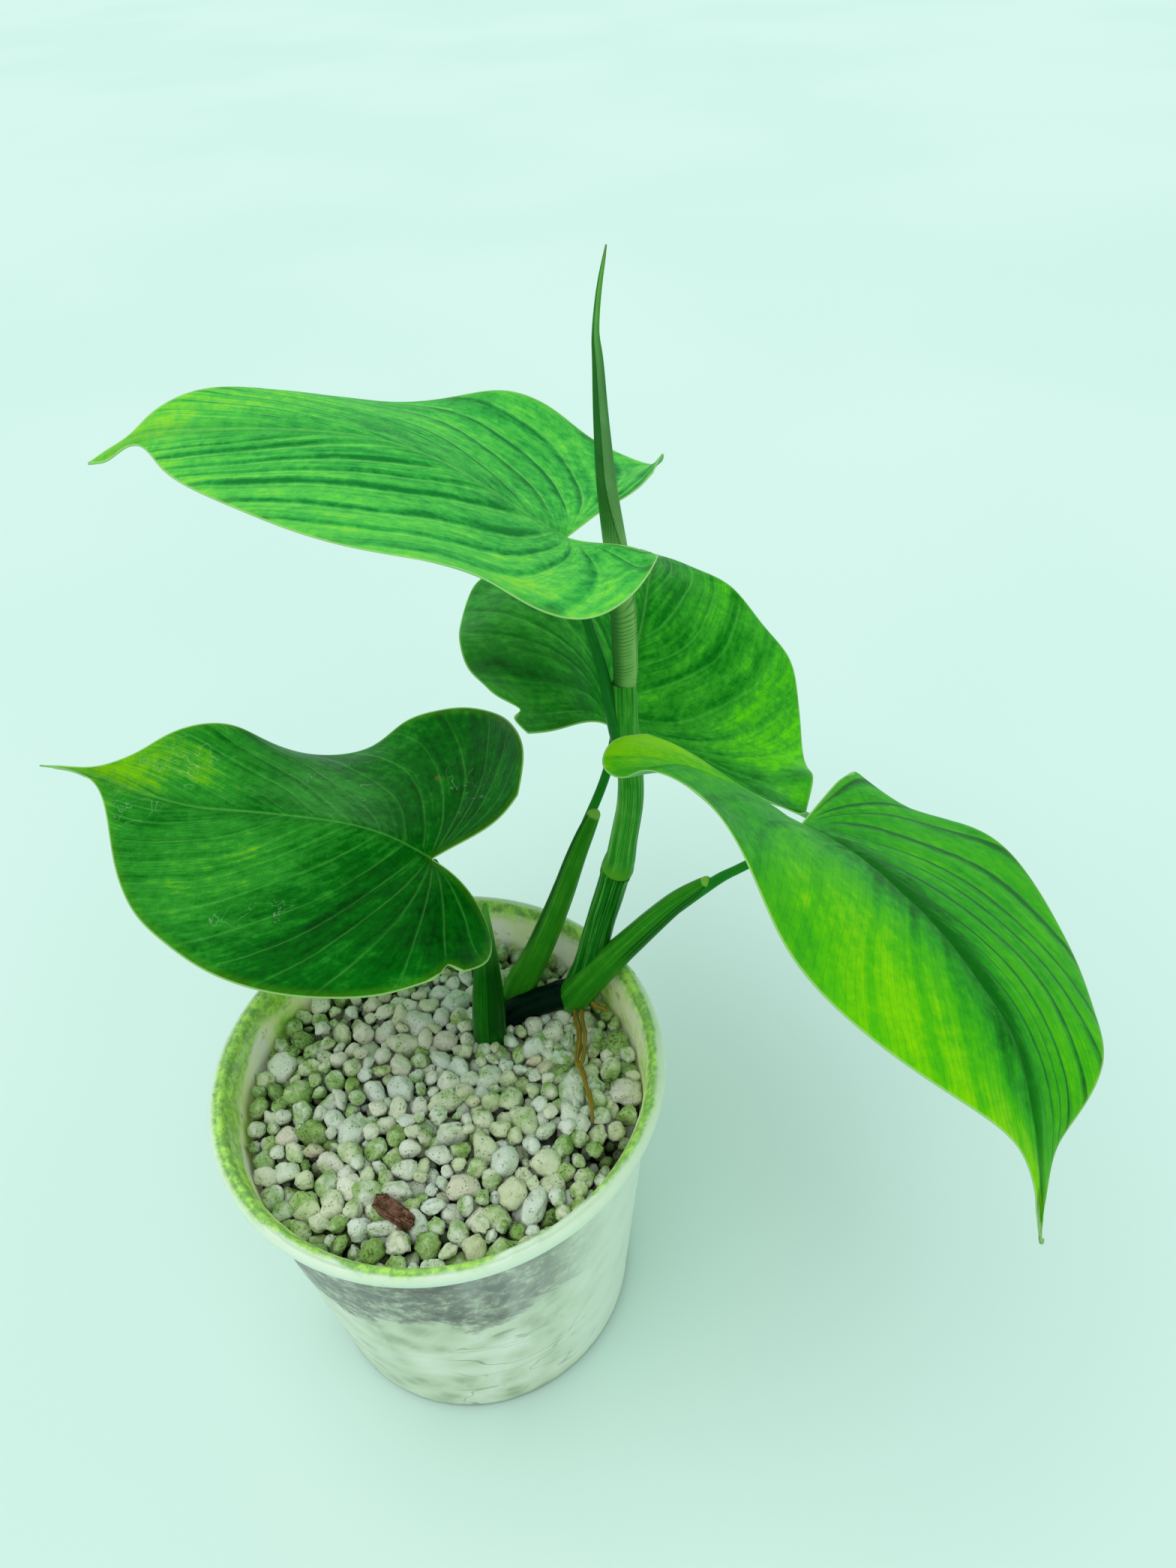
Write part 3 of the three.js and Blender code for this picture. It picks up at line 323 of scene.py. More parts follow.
# ---------------------------------------------------------------------------
# leaves: 17 rows of 11 points in mm, margin to margin over the midrib;
# rows 0 to 4 fan around the notch, rows 5 to 16 run to the tip
# ---------------------------------------------------------------------------
NETS = {
    "leaf_low_left": [
    [22.2,26.8,142.3, 19.3,26,138.6, 15.7,25,135.7, 11.5,24,133.6, 7.2,23,131.9, 2.9,21.7,130.3, 6.2,18.2,130.7, 9.3,14.5,130.5, 12,10.6,129.5, 14.1,6.7,127.4, 15.3,2.8,124.9],
    [23.7,35.6,147.1, 20.8,33.1,142.2, 17.5,30.5,137.7, 13.1,27.7,134.4, 8.1,24.8,132.1, 2.9,21.7,130.3, 5.7,16.2,131, 8.2,10.5,130.8, 10.3,4.7,129.8, 12.1,-1.1,128.6, 14.8,-6.6,128.9],
    [21,45.5,146.7, 19.1,40.9,141.9, 16.2,36.1,137.7, 12.4,31.3,134.2, 7.9,26.5,132, 2.9,21.7,130.3, 4.4,15,131.2, 5.4,8.1,131.5, 6.1,1.1,131.5, 6.9,-5.8,132.1, 7.7,-12.7,133.1],
    [16.7,54.7,142.9, 15.2,47.9,139.7, 13.5,41.3,136.1, 10.7,34.7,133.5, 7.1,28.1,131.7, 2.9,21.7,130.3, 2.7,14.2,131.5, 1.8,6.6,132.2, 0.6,-0.9,132.9, -0.8,-8.5,133.6, -2.6,-16,133.3],
    [9.8,61.7,139.6, 10.5,53.6,136.8, 10.1,45.5,134.6, 8.8,37.5,132.5, 6.3,29.5,131.6, 2.9,21.7,130.3, 1.1,13.6,131.9, -1.5,5.7,132.7, -4.7,-1.9,133.6, -8.6,-9.4,133.7, -13,-16.6,133.8],
    [1.9,66.5,135.6, 4.3,57.8,133.9, 5.6,49,132.3, 5.3,40,131.5, 3.8,31.1,130.9, 1.3,22.4,131.2, -1.9,14,132.4, -6,6,133.4, -10.9,-1.5,133.8, -16.5,-8.5,133.9, -22.9,-15,134],
    [-6.9,69,130.7, -3.3,60.3,130, -1.3,51.2,129.9, -0.6,42,130.1, -1,32.8,131.1, -2.1,23.8,133, -6.7,15.6,133.4, -12,8,133.8, -18.1,1,133.9, -24.8,-5.3,133.7, -32.3,-11,133.4],
    [-15.9,68.8,124.1, -12.5,60.7,126.8, -9.8,52.2,128.1, -8.2,43.4,129.8, -7.4,34.6,132, -7.3,25.8,134.9, -12.9,18.3,134.4, -19.1,11.4,134.1, -25.8,5.3,133.7, -33.1,-0.2,133.2, -41.1,-5,132.3],
    [-27.6,67.5,123.5, -23.1,60.6,126.1, -19.7,52.9,128.4, -17.1,44.9,130.6, -15.5,36.7,133.1, -14.7,28.4,135.9, -20.6,21.7,134.9, -27.1,15.8,134, -34.2,10.6,133.4, -41.7,6.2,132.4, -49.7,2.5,131.9],
    [-38.2,66.5,128.5, -33.3,60.4,129.8, -29.5,53.5,130.8, -26.5,46.3,132.3, -24.4,38.8,133.9, -23,31.1,135.8, -28.9,25.7,134.7, -35.4,20.9,133.7, -42.2,16.9,132.7, -49.6,13.7,132.1, -57.3,11,131.2],
    [-46.6,64.4,137.1, -43.2,58.8,135, -39.6,53,134.2, -36.6,47,133.9, -34.1,40.7,134.4, -32.2,34.2,135, -37.8,30.3,134, -43.6,27,132.9, -49.9,24.4,132.4, -56.4,22.5,131.6, -63.3,21.3,131.3],
    [-56.8,59.5,140.2, -53.1,56,137.9, -49.9,51.8,136.2, -47,47.4,134.9, -44.4,42.7,133.8, -42.1,37.7,133.7, -46.9,35.4,132.7, -51.9,33.6,132.6, -57,32.3,132.2, -62.3,31.6,132.2, -67.6,31.7,131.4],
    [-64.9,55.1,138.4, -61.9,52.8,137.5, -59.2,50.3,136.3, -56.7,47.4,135, -54.4,44.4,133.9, -52.2,41.2,132.6, -55.8,40.5,133, -59.5,40,132.9, -63.1,39.8,133.3, -66.8,40,133.1, -70.5,40.4,133.4],
    [-72.3,52.3,137.3, -70,51.3,136.6, -67.8,49.9,136.1, -65.8,48.3,135.4, -63.9,46.6,134.6, -62.1,44.7,134, -64.6,44.9,134, -67,45.3,134.6, -69.4,45.9,134.6, -71.7,46.5,135.2, -74,47.3,135.3],
    [-77.9,52.1,137, -76.4,51.6,137, -75,51,136.5, -73.6,50.2,136.2, -72.2,49.3,135.8, -70.9,48.5,135.4, -72.5,48.6,135.7, -73.9,49.2,135.7, -75.4,49.6,136.2, -76.9,50.2,136.2, -78.5,50.5,136.6],
    [-82.9,52.5,137.5, -82,52.4,137.2, -81.2,52.3,137.3, -80.5,51.9,137.1, -79.8,51.5,136.8, -79,51.3,136.8, -79.8,51.4,136.7, -80.6,51.5,137, -81.5,51.7,136.9, -82.3,51.8,137.2, -83.1,52,137.1],
    [-87.5,53,137.6, -87.5,53,137.6, -87.5,53,137.6, -87.5,53,137.6, -87.5,53,137.6, -87.5,53,137.6, -87.5,53,137.6, -87.5,53,137.6, -87.5,53,137.6, -87.5,53,137.6, -87.5,53,137.6],
    ],
    "leaf_top_left": [
    [51.9,35.8,207.8, 49,33.5,206.2, 45.8,31.4,205.2, 42.4,29.4,204.4, 39.2,27.3,203.3, 36,25.1,202.1, 38.8,22.3,202.7, 41.7,19.7,203.6, 44.6,17,204.6, 47.4,14.3,205.2, 50.2,11.3,205.2],
    [54.4,44.8,207, 51.5,40.5,205.4, 47.8,36.5,204.4, 43.8,32.8,203.9, 39.8,29,203.2, 36,25.1,202.1, 39,20.5,203, 42,16.1,204.4, 44.9,11.5,205.3, 47.7,6.8,206.4, 49.7,3,209.8],
    [54,51.9,201.6, 50.2,46.7,202.5, 46.8,41.2,202.8, 43.3,35.8,203, 39.6,30.5,202.8, 36,25.1,202.1, 38.3,19.2,203.4, 40.5,13.2,204.7, 42.4,7.1,205.7, 43.9,1.1,207.5, 45.7,-5,209],
    [48.1,58.5,200.7, 46.2,51.7,200.9, 43.9,44.9,201.7, 41.5,38.3,202.3, 38.8,31.7,202.5, 36,25.1,202.1, 37.2,18.3,203.7, 38,11.4,205, 38.3,4.4,206.3, 38.4,-2.6,207.4, 38.3,-9.8,208],
    [41,63,203.4, 40.9,55.3,202.3, 40.3,47.7,201.9, 39.4,40.1,202.1, 37.9,32.7,202.6, 36,25.1,202.1, 36,17.7,204.1, 35.4,10.3,205.7, 34.1,3,207.3, 32.4,-4.3,209, 30.3,-11.2,211.7],
    [34.2,65.2,208.6, 35,57.7,205.3, 35.6,49.8,203.6, 35.8,41.8,202.9, 35.4,33.7,202.8, 34.4,25.5,203, 33.4,17.6,205, 31.6,10,207, 29,2.7,209.1, 26,-4.2,212, 23,-10.2,216.7],
    [25.5,66,212.1, 27.9,58.6,208.9, 29.5,50.8,206.5, 30.6,42.8,205.2, 31.2,34.6,204.7, 31.4,26.2,205, 29.2,18.5,207, 26.3,11.1,209.2, 22.8,4.1,211.7, 18.9,-2.2,215.2, 14.1,-8.1,218.8],
    [15.4,65.1,211.8, 19.4,58,211.4, 22.2,50.7,209.9, 24.3,43.1,208.6, 25.9,35.3,208, 27,27.3,208.1, 24,20,210.1, 20.2,13.3,212.2, 15.9,7,214.6, 10.8,1.2,217, 5,-4.1,219],
    [5.1,62.4,212.6, 9.9,56.5,213.3, 13.8,50,213.1, 16.8,43.1,212.6, 19.3,36,212.2, 21.2,28.6,212.3, 17.4,22.2,213.8, 13,16.2,215.4, 7.9,10.8,216.9, 2.3,5.9,218.2, -4,1.6,219.1],
    [-4.2,58.7,215.7, 0.7,53.8,215.9, 5,48.4,216.1, 8.7,42.6,216.1, 11.7,36.5,216, 14.3,30.1,216.2, 10,24.7,217, 5.2,19.8,217.8, -0.1,15.4,218.4, -5.8,11.6,218.7, -11.9,8.4,218.9],
    [-13,54.2,219.3, -8.3,50.5,219.2, -4,46.4,219.1, -0.3,41.8,219, 3,36.9,218.9, 5.9,31.6,219.1, 1.5,27.4,219.2, -3.2,23.7,219.2, -8.2,20.6,219.1, -13.6,18.1,218.6, -19.2,16.1,218],
    [-21,50,222.3, -16.9,47.3,221.7, -13,44.3,221.3, -9.6,41,220.9, -6.4,37.2,220.6, -3.7,33.1,220.5, -7.6,30.2,220.1, -11.8,27.7,219.7, -16.2,25.7,219.1, -20.8,24.2,218.4, -25.5,23.2,217.3],
    [-27.8,46.1,223.3, -24.5,44.2,222.6, -21.5,42.2,222, -18.6,39.9,221.6, -15.8,37.5,221.2, -13.3,34.8,220.8, -16.5,33.1,220.4, -19.9,31.7,219.7, -23.3,30.6,219.1, -26.8,29.8,218.2, -30.5,29.5,217.4],
    [-33.9,42.8,221.6, -31.5,41.9,221.3, -29.2,40.6,221.2, -27,39.3,220.9, -24.9,37.9,220.8, -22.9,36.5,220.6, -25.2,35.9,220.1, -27.5,35.4,219.7, -29.8,35.1,219.1, -32.1,35.1,218.6, -34.2,35.5,217.8],
    [-38.1,41.3,218.7, -36.9,40.8,219.3, -35.5,40.3,219.3, -34.2,39.6,219.5, -32.9,38.9,219.5, -31.5,38.3,219.7, -32.9,38.1,219.3, -34.2,38,218.8, -35.5,38.4,218.5, -36.8,38.7,218, -38.2,38.7,217.6],
    [-42.3,40.3,216.7, -41.6,40.5,216.8, -41,40.2,217.1, -40.4,40.3,217.4, -39.8,39.9,217.5, -39.2,39.5,217.6, -39.8,39.3,217.1, -40.5,39.1,216.8, -41.1,38.8,216.3, -41.7,38.4,216, -42.3,38.1,215.5],
    [-46.5,39.9,214.5, -46.5,39.9,214.5, -46.5,39.9,214.5, -46.5,39.9,214.5, -46.5,39.9,214.5, -46.5,39.9,214.5, -46.5,39.9,214.5, -46.5,39.9,214.5, -46.5,39.9,214.5, -46.5,39.9,214.5, -46.5,39.9,214.5],
    ],
    "leaf_right": [
    [96.7,41.7,128.9, 92.3,36.1,132.4, 88.4,29.7,135.4, 84.8,23.2,138.3, 81.2,16.7,141.2, 77.7,10.2,144.2, 71.1,13,148.8, 65.2,15.6,152.1, 59.6,18,155.7, 53.9,19.6,159.2, 48.8,20.2,161.6],
    [98.7,44.5,126.5, 94.8,37.9,131, 90.3,31,134.2, 86.1,24.1,137.6, 81.8,17.1,140.8, 77.7,10.2,144.2, 71.1,11.7,149.5, 64.7,13.4,153.6, 58.1,14.8,157.9, 50.8,15.2,162.4, 43.3,13.7,166.4],
    [103.5,40.6,123.8, 98.7,35.3,129.2, 93.3,29.4,133.4, 87.9,23.2,137.1, 82.7,16.8,140.6, 77.7,10.2,144.2, 71.2,10.4,150.1, 64.5,11.2,154.9, 57.2,11.5,159.5, 49.1,10.7,164.2, 40.3,7.7,168.4],
    [110.2,34.6,122.6, 103.7,31,128.1, 96.9,26.5,132.6, 90.3,21.5,136.6, 83.8,16,140.4, 77.7,10.2,144.2, 71.3,9.2,150.7, 64.5,8.9,156.1, 57.2,7.9,161, 49,6,165.6, 40,1.9,169],
    [117.5,28.7,124.1, 108.8,26.2,127.8, 100.6,23.4,132.2, 92.6,19.8,136.2, 85,15.4,140.2, 77.7,10.2,144.2, 71.5,8,151.2, 64.9,6.7,157.4, 58.1,4.4,163.1, 50.9,1.2,168.2, 43.1,-3.7,171.7],
    [122.7,19.6,126.8, 113.1,19.1,129.3, 104,17.8,132.8, 95.2,15.7,136.7, 86.8,12.6,140.5, 78.7,8.5,144.9, 71.7,6.9,151.8, 65.4,4.6,159.1, 59.2,1,166, 53.2,-3.4,172.7, 47.1,-9.5,177.8],
    [125.4,8,127.8, 116.2,9.5,131.1, 107.1,9.8,134.4, 98.1,9.3,137.9, 89.3,7.7,141.7, 80.9,5.4,146.3, 74.4,2.2,152.9, 68.6,-1.7,159.8, 63.4,-6.5,166.5, 58.3,-12.4,172.3, 54.9,-18.7,179.1],
    [126.1,-4.7,128.7, 118,-1.7,132.6, 109.6,0.3,136.3, 100.9,1.2,139.8, 92.3,1.2,143.5, 83.9,0.4,147.9, 78.1,-4.1,153.9, 73,-9.1,160.1, 68.3,-15.1,165.4, 64.2,-21.9,170.5, 60.4,-29.6,174.7],
    [125.6,-17.8,129.9, 118.8,-13.7,134.2, 111.5,-10.5,138.2, 103.7,-8.3,141.9, 95.7,-7,145.5, 87.5,-6.6,149.3, 82.5,-11.9,154.7, 78,-17.9,159.5, 73.8,-24.6,163.6, 69.5,-31.9,166.2, 64.9,-39.7,167.1],
    [123.4,-30,132.2, 118.1,-25.3,136.2, 112.1,-21.4,140, 105.6,-18.3,143.6, 98.6,-16.1,147, 91.2,-14.8,150.3, 87.1,-20.4,154.6, 83.4,-26.6,158.1, 79.6,-33.4,160.4, 75.9,-40.6,161.3, 72.4,-47.9,160.8],
    [119.6,-41.5,135.2, 115.6,-36.6,138.1, 111.3,-32.4,141.6, 106.4,-28.9,144.9, 100.9,-26.1,147.9, 95,-24,150.9, 91.9,-29.6,153.8, 89,-35.5,155.8, 86.3,-41.7,156.9, 83.7,-48.1,156.8, 81.6,-54.7,155.9],
    [112.8,-50.2,135.2, 111.3,-46.3,138.7, 109,-42.7,141.9, 106.2,-39.5,145, 102.7,-36.7,147.9, 98.5,-34.4,150.4, 96.4,-39.2,152, 94.5,-44.1,152.9, 92.6,-49.1,152.8, 91.2,-54.2,152.4, 90.3,-59.4,151.3],
    [106.6,-56.5,135.4, 106.5,-54,138.2, 105.8,-51.7,140.9, 104.7,-49.3,143.5, 103.1,-47,146, 101.4,-44.9,148.5, 100,-48.4,148.7, 98.6,-51.9,148.3, 97.7,-55.4,147.8, 96.8,-58.9,146.8, 96.4,-62.4,145.9],
    [102.9,-62.8,135.2, 102.8,-61.1,136.9, 102.7,-59.5,138.7, 102.6,-58,140.5, 102.4,-56.5,142.3, 101.8,-54.9,144, 101.1,-57,143.3, 100.7,-59.3,142.7, 100.1,-61.4,141.8, 99.7,-63.6,140.8, 99,-65.5,139.5],
    [100.8,-67.5,133.9, 100.7,-66.7,135, 100.6,-65.9,136, 100.6,-65.1,137, 100.6,-64.3,137.9, 100.7,-63.5,139, 100.7,-64.7,138.3, 100.3,-65.6,137.5, 100.4,-66.4,136.5, 100,-67,135.5, 99.9,-67.9,134.5],
    [101,-68.8,129.7, 101,-69.1,130, 101,-69.2,130.5, 100.9,-69.2,130.9, 100.8,-69.1,131.3, 100.6,-68.9,131.7, 100.4,-68.9,131.4, 100.6,-68.9,131, 100.5,-68.8,130.6, 100.8,-68.8,130.4, 101,-68.7,130.1],
    [103.5,-65.7,123.9, 103.5,-65.7,123.9, 103.5,-65.7,123.9, 103.5,-65.7,123.9, 103.5,-65.7,123.9, 103.5,-65.7,123.9, 103.5,-65.7,123.9, 103.5,-65.7,123.9, 103.5,-65.7,123.9, 103.5,-65.7,123.9, 103.5,-65.7,123.9],
    ],
    "leaf_rear": [
    [26.1,20.3,163.5, 31,26.8,158.7, 36.3,33.4,154.9, 40.2,40,149.6, 42.4,46.6,143.3, 43.8,53.5,137.2, 51.5,47.9,138.4, 58.7,41.6,138.4, 65.6,34.9,137.6, 72.7,28.3,136.4, 80.6,22.6,135.3],
    [23.4,22.7,165.6, 28.7,28.5,160.5, 34.8,34.6,156.4, 39.5,40.8,150.9, 42.1,47,144, 43.8,53.5,137.2, 52,48.2,137.8, 59.7,42.1,137.1, 67.2,35.8,136, 74.6,29.5,134.1, 83.3,24.8,133.4],
    [18.5,31.3,166.7, 25.8,35.1,162.3, 33.1,39.2,158.3, 38.7,43.6,152.3, 41.7,48.3,144.7, 43.8,53.5,137.2, 52.2,49.1,136.6, 60.4,44.4,135.1, 68.4,39.7,132.9, 76.6,35.6,130.8, 84.2,31.3,126.8],
    [13.8,42.5,164, 23,43.9,163.2, 31.4,45.5,159.8, 37.8,47.5,153.6, 41.3,50.1,145.4, 43.8,53.5,137.2, 52.5,50.5,135.3, 61,47.7,132.7, 69.6,45.3,129.9, 78.5,43.5,127.2, 88,42.4,126.6],
    [11.4,54.1,162.4, 20.8,52.5,162.8, 30,51.5,160.8, 37.2,51.2,154.7, 41.1,51.7,146.1, 43.8,53.5,137.2, 52.9,52,134.4, 61.7,50.9,130.8, 70.7,50.7,127.2, 79.9,51.4,124.5, 89.3,52.6,121.7],
    [10.5,64.7,159.1, 19.4,61.2,162, 28.7,58.2,161.1, 36.6,56,155.7, 41.2,55,146.9, 43.9,55.6,137.2, 53.4,55,133.1, 62.6,55.4,129.1, 71.8,56.9,125.3, 81,59.3,121.7, 90.1,62.6,118.3],
    [10.4,74.9,156.1, 18.8,70.5,160.2, 28,66.3,160.7, 36.3,62.6,156.3, 41.5,60.2,147.7, 44.9,59.5,137.8, 54.1,60.2,132.6, 63.5,61.9,128.4, 72.8,64.6,124.5, 82.1,68.2,121, 91.4,72.7,118.4],
    [11.2,85.3,154.6, 19.5,80.1,158, 28.3,75.2,159.4, 36.8,70.5,156.3, 42.6,67,148.6, 46.6,65.2,139.1, 55.6,66.9,133.8, 64.8,69.5,129.6, 73.9,73,126, 83,77.3,123.4, 92.1,82.4,121.7],
    [14.2,95.8,153.5, 22.1,89.9,155.6, 30.2,84.7,157.1, 38.1,79.7,155.4, 44.4,75.4,149.4, 49.1,72.7,141.1, 57.6,74.8,136.6, 66,77.9,132.9, 74.5,81.7,130.1, 82.7,86.4,127.7, 91.1,91.7,126.6],
    [22.2,104.1,151.1, 28.1,98.7,153.1, 34.6,93.7,154.2, 41.2,88.9,153.4, 46.8,84.4,149.5, 51.7,81,143.6, 59,83.4,140.3, 66.1,86.5,137.6, 72.9,90.3,135.2, 79.7,94.9,133.6, 85.5,100.5,131.3],
    [31.8,112.2,148.3, 35.8,107.3,149.8, 40.3,102.8,150.8, 45.1,98.5,150.7, 49.7,94.4,149, 53.9,90.7,145.6, 59.6,93.2,143.6, 64.8,96.3,141.5, 69.7,100,139.8, 74.1,104.2,138, 78.6,108.8,137.8],
    [40.4,119.9,144.9, 42.8,115.9,146.2, 45.6,112.1,147.1, 48.9,108.5,147.5, 52.3,105,147.1, 55.8,101.7,146.3, 59.5,104.2,144.4, 62.9,107.2,142.9, 65.9,110.5,141.2, 68.7,114.2,139.9, 71.1,118.1,138.2],
    [47.4,126.5,141.5, 48.7,123.5,142.4, 50.3,120.7,143.3, 52.2,117.9,143.8, 54.5,115.2,144.1, 57,112.6,144, 58.7,115.1,142.9, 60.3,117.6,141.5, 61.9,120.2,140.3, 63.2,122.9,138.9, 64.4,125.8,137.7],
    [52.4,132.9,137.7, 52.9,131,138.5, 53.4,129,139.3, 54.1,127.1,140, 55,125.2,140.5, 56.1,123.4,141, 56.8,125.2,139.9, 57.5,127,139, 58,128.8,138, 58.5,130.8,137.1, 58.7,132.6,136.1],
    [54.9,138.5,134.3, 54.9,137.4,134.9, 54.9,136.3,135.6, 54.9,135.1,136.1, 54.8,134,136.7, 55.1,132.8,137.1, 55.4,134,136.6, 55.5,135.1,135.9, 55.7,136.2,135.4, 55.7,137.3,134.7, 55.7,138.5,134.1],
    [56.1,143.6,131.2, 56.2,143.1,131.6, 56.3,142.4,131.8, 56.4,141.8,132.2, 56.5,141.2,132.4, 56.1,140.9,132.9, 56.1,141.4,132.4, 56.3,142,132.1, 56.5,142.5,131.7, 56.9,143.1,131.4, 57.4,143.4,130.9],
    [60.1,147.5,127.8, 60.1,147.5,127.8, 60.1,147.5,127.8, 60.1,147.5,127.8, 60.1,147.5,127.8, 60.1,147.5,127.8, 60.1,147.5,127.8, 60.1,147.5,127.8, 60.1,147.5,127.8, 60.1,147.5,127.8, 60.1,147.5,127.8],
    ],
}


def leaf_surface(net, nr=12, nc=13):
    """Fine grid over the net: points, row and cross coordinates (-1..1)."""
    g = np.asarray(net, float).reshape(17, 11, 3)
    rs = np.linspace(0, 16, 16 * nr + 1)
    rows = spline(g, rs)
    s = g[0, 5]
    for k, r in enumerate(rs):
        if r <= 4:
            d = rows[k, 5] - s
            rows[k] -= d[None] * np.clip(1 - np.abs(np.arange(11) - 5), 0, 1)[:, None]
    rows[-1] = g[16, 5]
    half = 5 * nc
    t = np.linspace(0, 5, half + 1)
    left = spline(rows.transpose(1, 0, 2)[:6], t)
    right = spline(rows.transpose(1, 0, 2)[5:], t)
    p = np.concatenate([left, right[1:]]).transpose(1, 0, 2)
    u = np.linspace(-1, 1, 2 * half + 1)
    lo, hi = p[:, :1], p[:, -1:]
    strip = lo + (hi - lo) * ((u + 1) / 2)[None, :, None]
    k = smoothstep(13.3, 14.8, rs)[:, None, None]
    p = p * (1 - k) + strip * k
    return p, rs, u


def near(points, line):
    """Shortest distance from each point to a polyline."""
    out = np.full(len(points), 1e9)
    a, b = line[:-1], line[1:]
    for s0 in range(0, len(points), 4000):
        q = points[s0 : s0 + 4000]
        ab = b - a
        t = np.einsum("pkd,kd->pk", q[:, None] - a[None], ab) / np.maximum((ab**2).sum(1), 1e-9)
        d = q[:, None] - a[None] - np.clip(t, 0, 1)[..., None] * ab[None]
        out[s0 : s0 + 4000] = np.sqrt((d**2).sum(2)).min(1)
    return out


def fade_noise(n, seed):
    """Random values in -1..1 at n knots."""
    return np.random.default_rng(seed).uniform(-1, 1, n)


